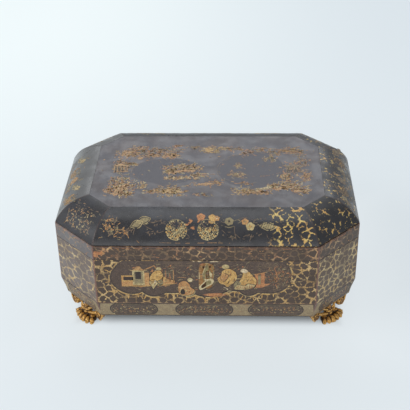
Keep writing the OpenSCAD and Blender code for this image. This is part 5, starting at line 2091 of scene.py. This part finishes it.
def stage():
    """A pale floor, wide enough to fill the picture from any side. To the camera and in reflections it
    partly glows with its own colour, least under the box, which paints a soft shadow there and lightens
    the floor round it.
    """
    shade = Shade("floor_paper")
    tint = shade.split(shade.where())
    # Painted light: the floor is lighter towards the left and duller towards the front, as if lit from
    # the left
    across = shade.step(tint[0], -420, 420)
    near = shade.step(tint[1], 900, -300)
    colour = shade.mix(across, srgb(246, 254, 255), srgb(226, 234, 239))
    colour = shade.mix(near, colour, srgb(230, 237, 241))
    mottle = shade.noise(shade.where(), 60, 2)
    matt = shade.tree.nodes.new("ShaderNodeBsdfDiffuse")
    shade.feed(matt.inputs["Color"], colour)
    shade.feed(matt.inputs["Normal"], shade.bump(mottle, 0.02))
    glow = shade.tree.nodes.new("ShaderNodeEmission")
    shade.feed(glow.inputs["Color"], colour)
    ray = shade.tree.nodes.new("ShaderNodeLightPath")
    seen = shade.math("MAXIMUM", ray.outputs["Is Camera Ray"], ray.outputs["Is Glossy Ray"])
    seen = shade.math("MAXIMUM", seen, ray.outputs["Is Transmission Ray"])
    blend = shade.tree.nodes.new("ShaderNodeMixShader")
    # The glow's share by distance from the box paints the shadow under it
    beside = shade.math("SUBTRACT", shade.math("ABSOLUTE", tint[0]), HALF_W)
    before = shade.math("SUBTRACT", shade.math("ABSOLUTE", tint[1]), HALF_D)
    gap = shade.math("MAXIMUM", beside, before)
    near = shade.step(gap, *SHADOW_EDGE, SHADOW_SHARE)
    away = shade.step(gap, *FLOOR_FADE, FADE_SHARE)
    shade.feed(blend.inputs[0], shade.math("MULTIPLY", seen, shade.math("SUBTRACT", near, away)))
    shade.tree.links.new(matt.outputs[0], blend.inputs[1])
    shade.tree.links.new(glow.outputs[0], blend.inputs[2])
    out = shade.tree.nodes.new("ShaderNodeOutputMaterial")
    shade.tree.links.new(blend.outputs[0], out.inputs[0])
    mesh = bpy.data.meshes.new("floor")
    corners = [(x * FLOOR_REACH, y * FLOOR_REACH, 0) for x, y in ((-1, -1), (1, -1), (1, 1), (-1, 1))]
    mesh.from_pydata(corners, [], [(0, 1, 2, 3)])
    mesh.materials.append(shade.material)
    floor = bpy.data.objects.new("floor", mesh)
    bpy.context.scene.collection.objects.link(floor)


def surroundings():
    """A soft world light on the object, and a pale backdrop for the camera."""
    world = bpy.data.worlds.new("studio")
    bpy.context.scene.world = world
    world.use_nodes = True
    nodes, links = world.node_tree.nodes, world.node_tree.links
    nodes.clear()
    ray = nodes.new("ShaderNodeLightPath")
    seen = nodes.new("ShaderNodeMath")
    seen.operation = "MAXIMUM"
    links.new(ray.outputs["Is Camera Ray"], seen.inputs[0])
    links.new(ray.outputs["Is Transmission Ray"], seen.inputs[1])
    lit = nodes.new("ShaderNodeBackground")
    lit.inputs["Color"].default_value = srgb(240, 246, 250)
    lit.inputs["Strength"].default_value = 0.5
    shown = nodes.new("ShaderNodeBackground")
    shown.inputs["Color"].default_value = srgb(230, 240, 243)
    shown.inputs["Strength"].default_value = 1.0
    blend = nodes.new("ShaderNodeMixShader")
    out = nodes.new("ShaderNodeOutputWorld")
    links.new(seen.outputs[0], blend.inputs[0])
    links.new(lit.outputs[0], blend.inputs[1])
    links.new(shown.outputs[0], blend.inputs[2])
    links.new(blend.outputs[0], out.inputs[0])


def softbox(name, spot, aim, size, power, tint=(1, 1, 1)):
    """A rectangular lamp at a spot, turned to the point it aims at, all in metres."""
    light = bpy.data.lights.new(name, "AREA")
    light.shape = "RECTANGLE"
    light.size, light.size_y = size
    light.energy = power
    light.color = tint
    obj = bpy.data.objects.new(name, light)
    bpy.context.scene.collection.objects.link(obj)
    obj.location = spot
    obj.rotation_euler = (Vector(aim) - Vector(spot)).to_track_quat("-Z", "Y").to_euler()


def lights():
    """Four soft lamps round the box."""
    softbox("key_left", (-1.7, -0.7, 1.3), (0, 0, 0.08), (1.4, 1.2), 17, (0.98, 0.99, 1))
    softbox("front_low", (-0.2, -2.2, 0.75), (0, 0, 0.05), (2.4, 0.9), 13, (1, 0.98, 0.95))
    softbox("overhead", (0.2, 0.6, 2.2), (0, 0, 0.1), (1.8, 1.4), 12, (0.95, 0.98, 1))
    softbox("behind", (0, 2.6, 1.7), (0, 0, 0.15), (2.6, 0.8), 14, (0.96, 0.98, 1))


def camera():
    """The photograph's viewpoint, from a fit of the box's edges."""
    azimuth, elevation, roll = 0.0415, 0.5591, -0.0187
    distance, target = 1.1934, Vector((-0.0046, 0, 0.102))
    ahead = Vector((
        -math.sin(azimuth) * math.cos(elevation),
        math.cos(azimuth) * math.cos(elevation),
        -math.sin(elevation),
    ))
    right = Vector((math.cos(azimuth), math.sin(azimuth), 0))
    up = right.cross(ahead)
    across = right * math.cos(roll) + up * math.sin(roll)
    upward = up * math.cos(roll) - right * math.sin(roll)
    turn = Matrix((across, upward, -ahead)).transposed().to_4x4()
    data = bpy.data.cameras.new("camera")
    data.sensor_width = SENSOR
    data.lens = LENS
    obj = bpy.data.objects.new("camera", data)
    obj.matrix_world = Matrix.Translation(target - ahead * distance) @ turn
    bpy.context.scene.collection.objects.link(obj)
    bpy.context.scene.camera = obj


stage()
surroundings()
lights()
camera()
bpy.context.scene.view_settings.view_transform = "Standard"
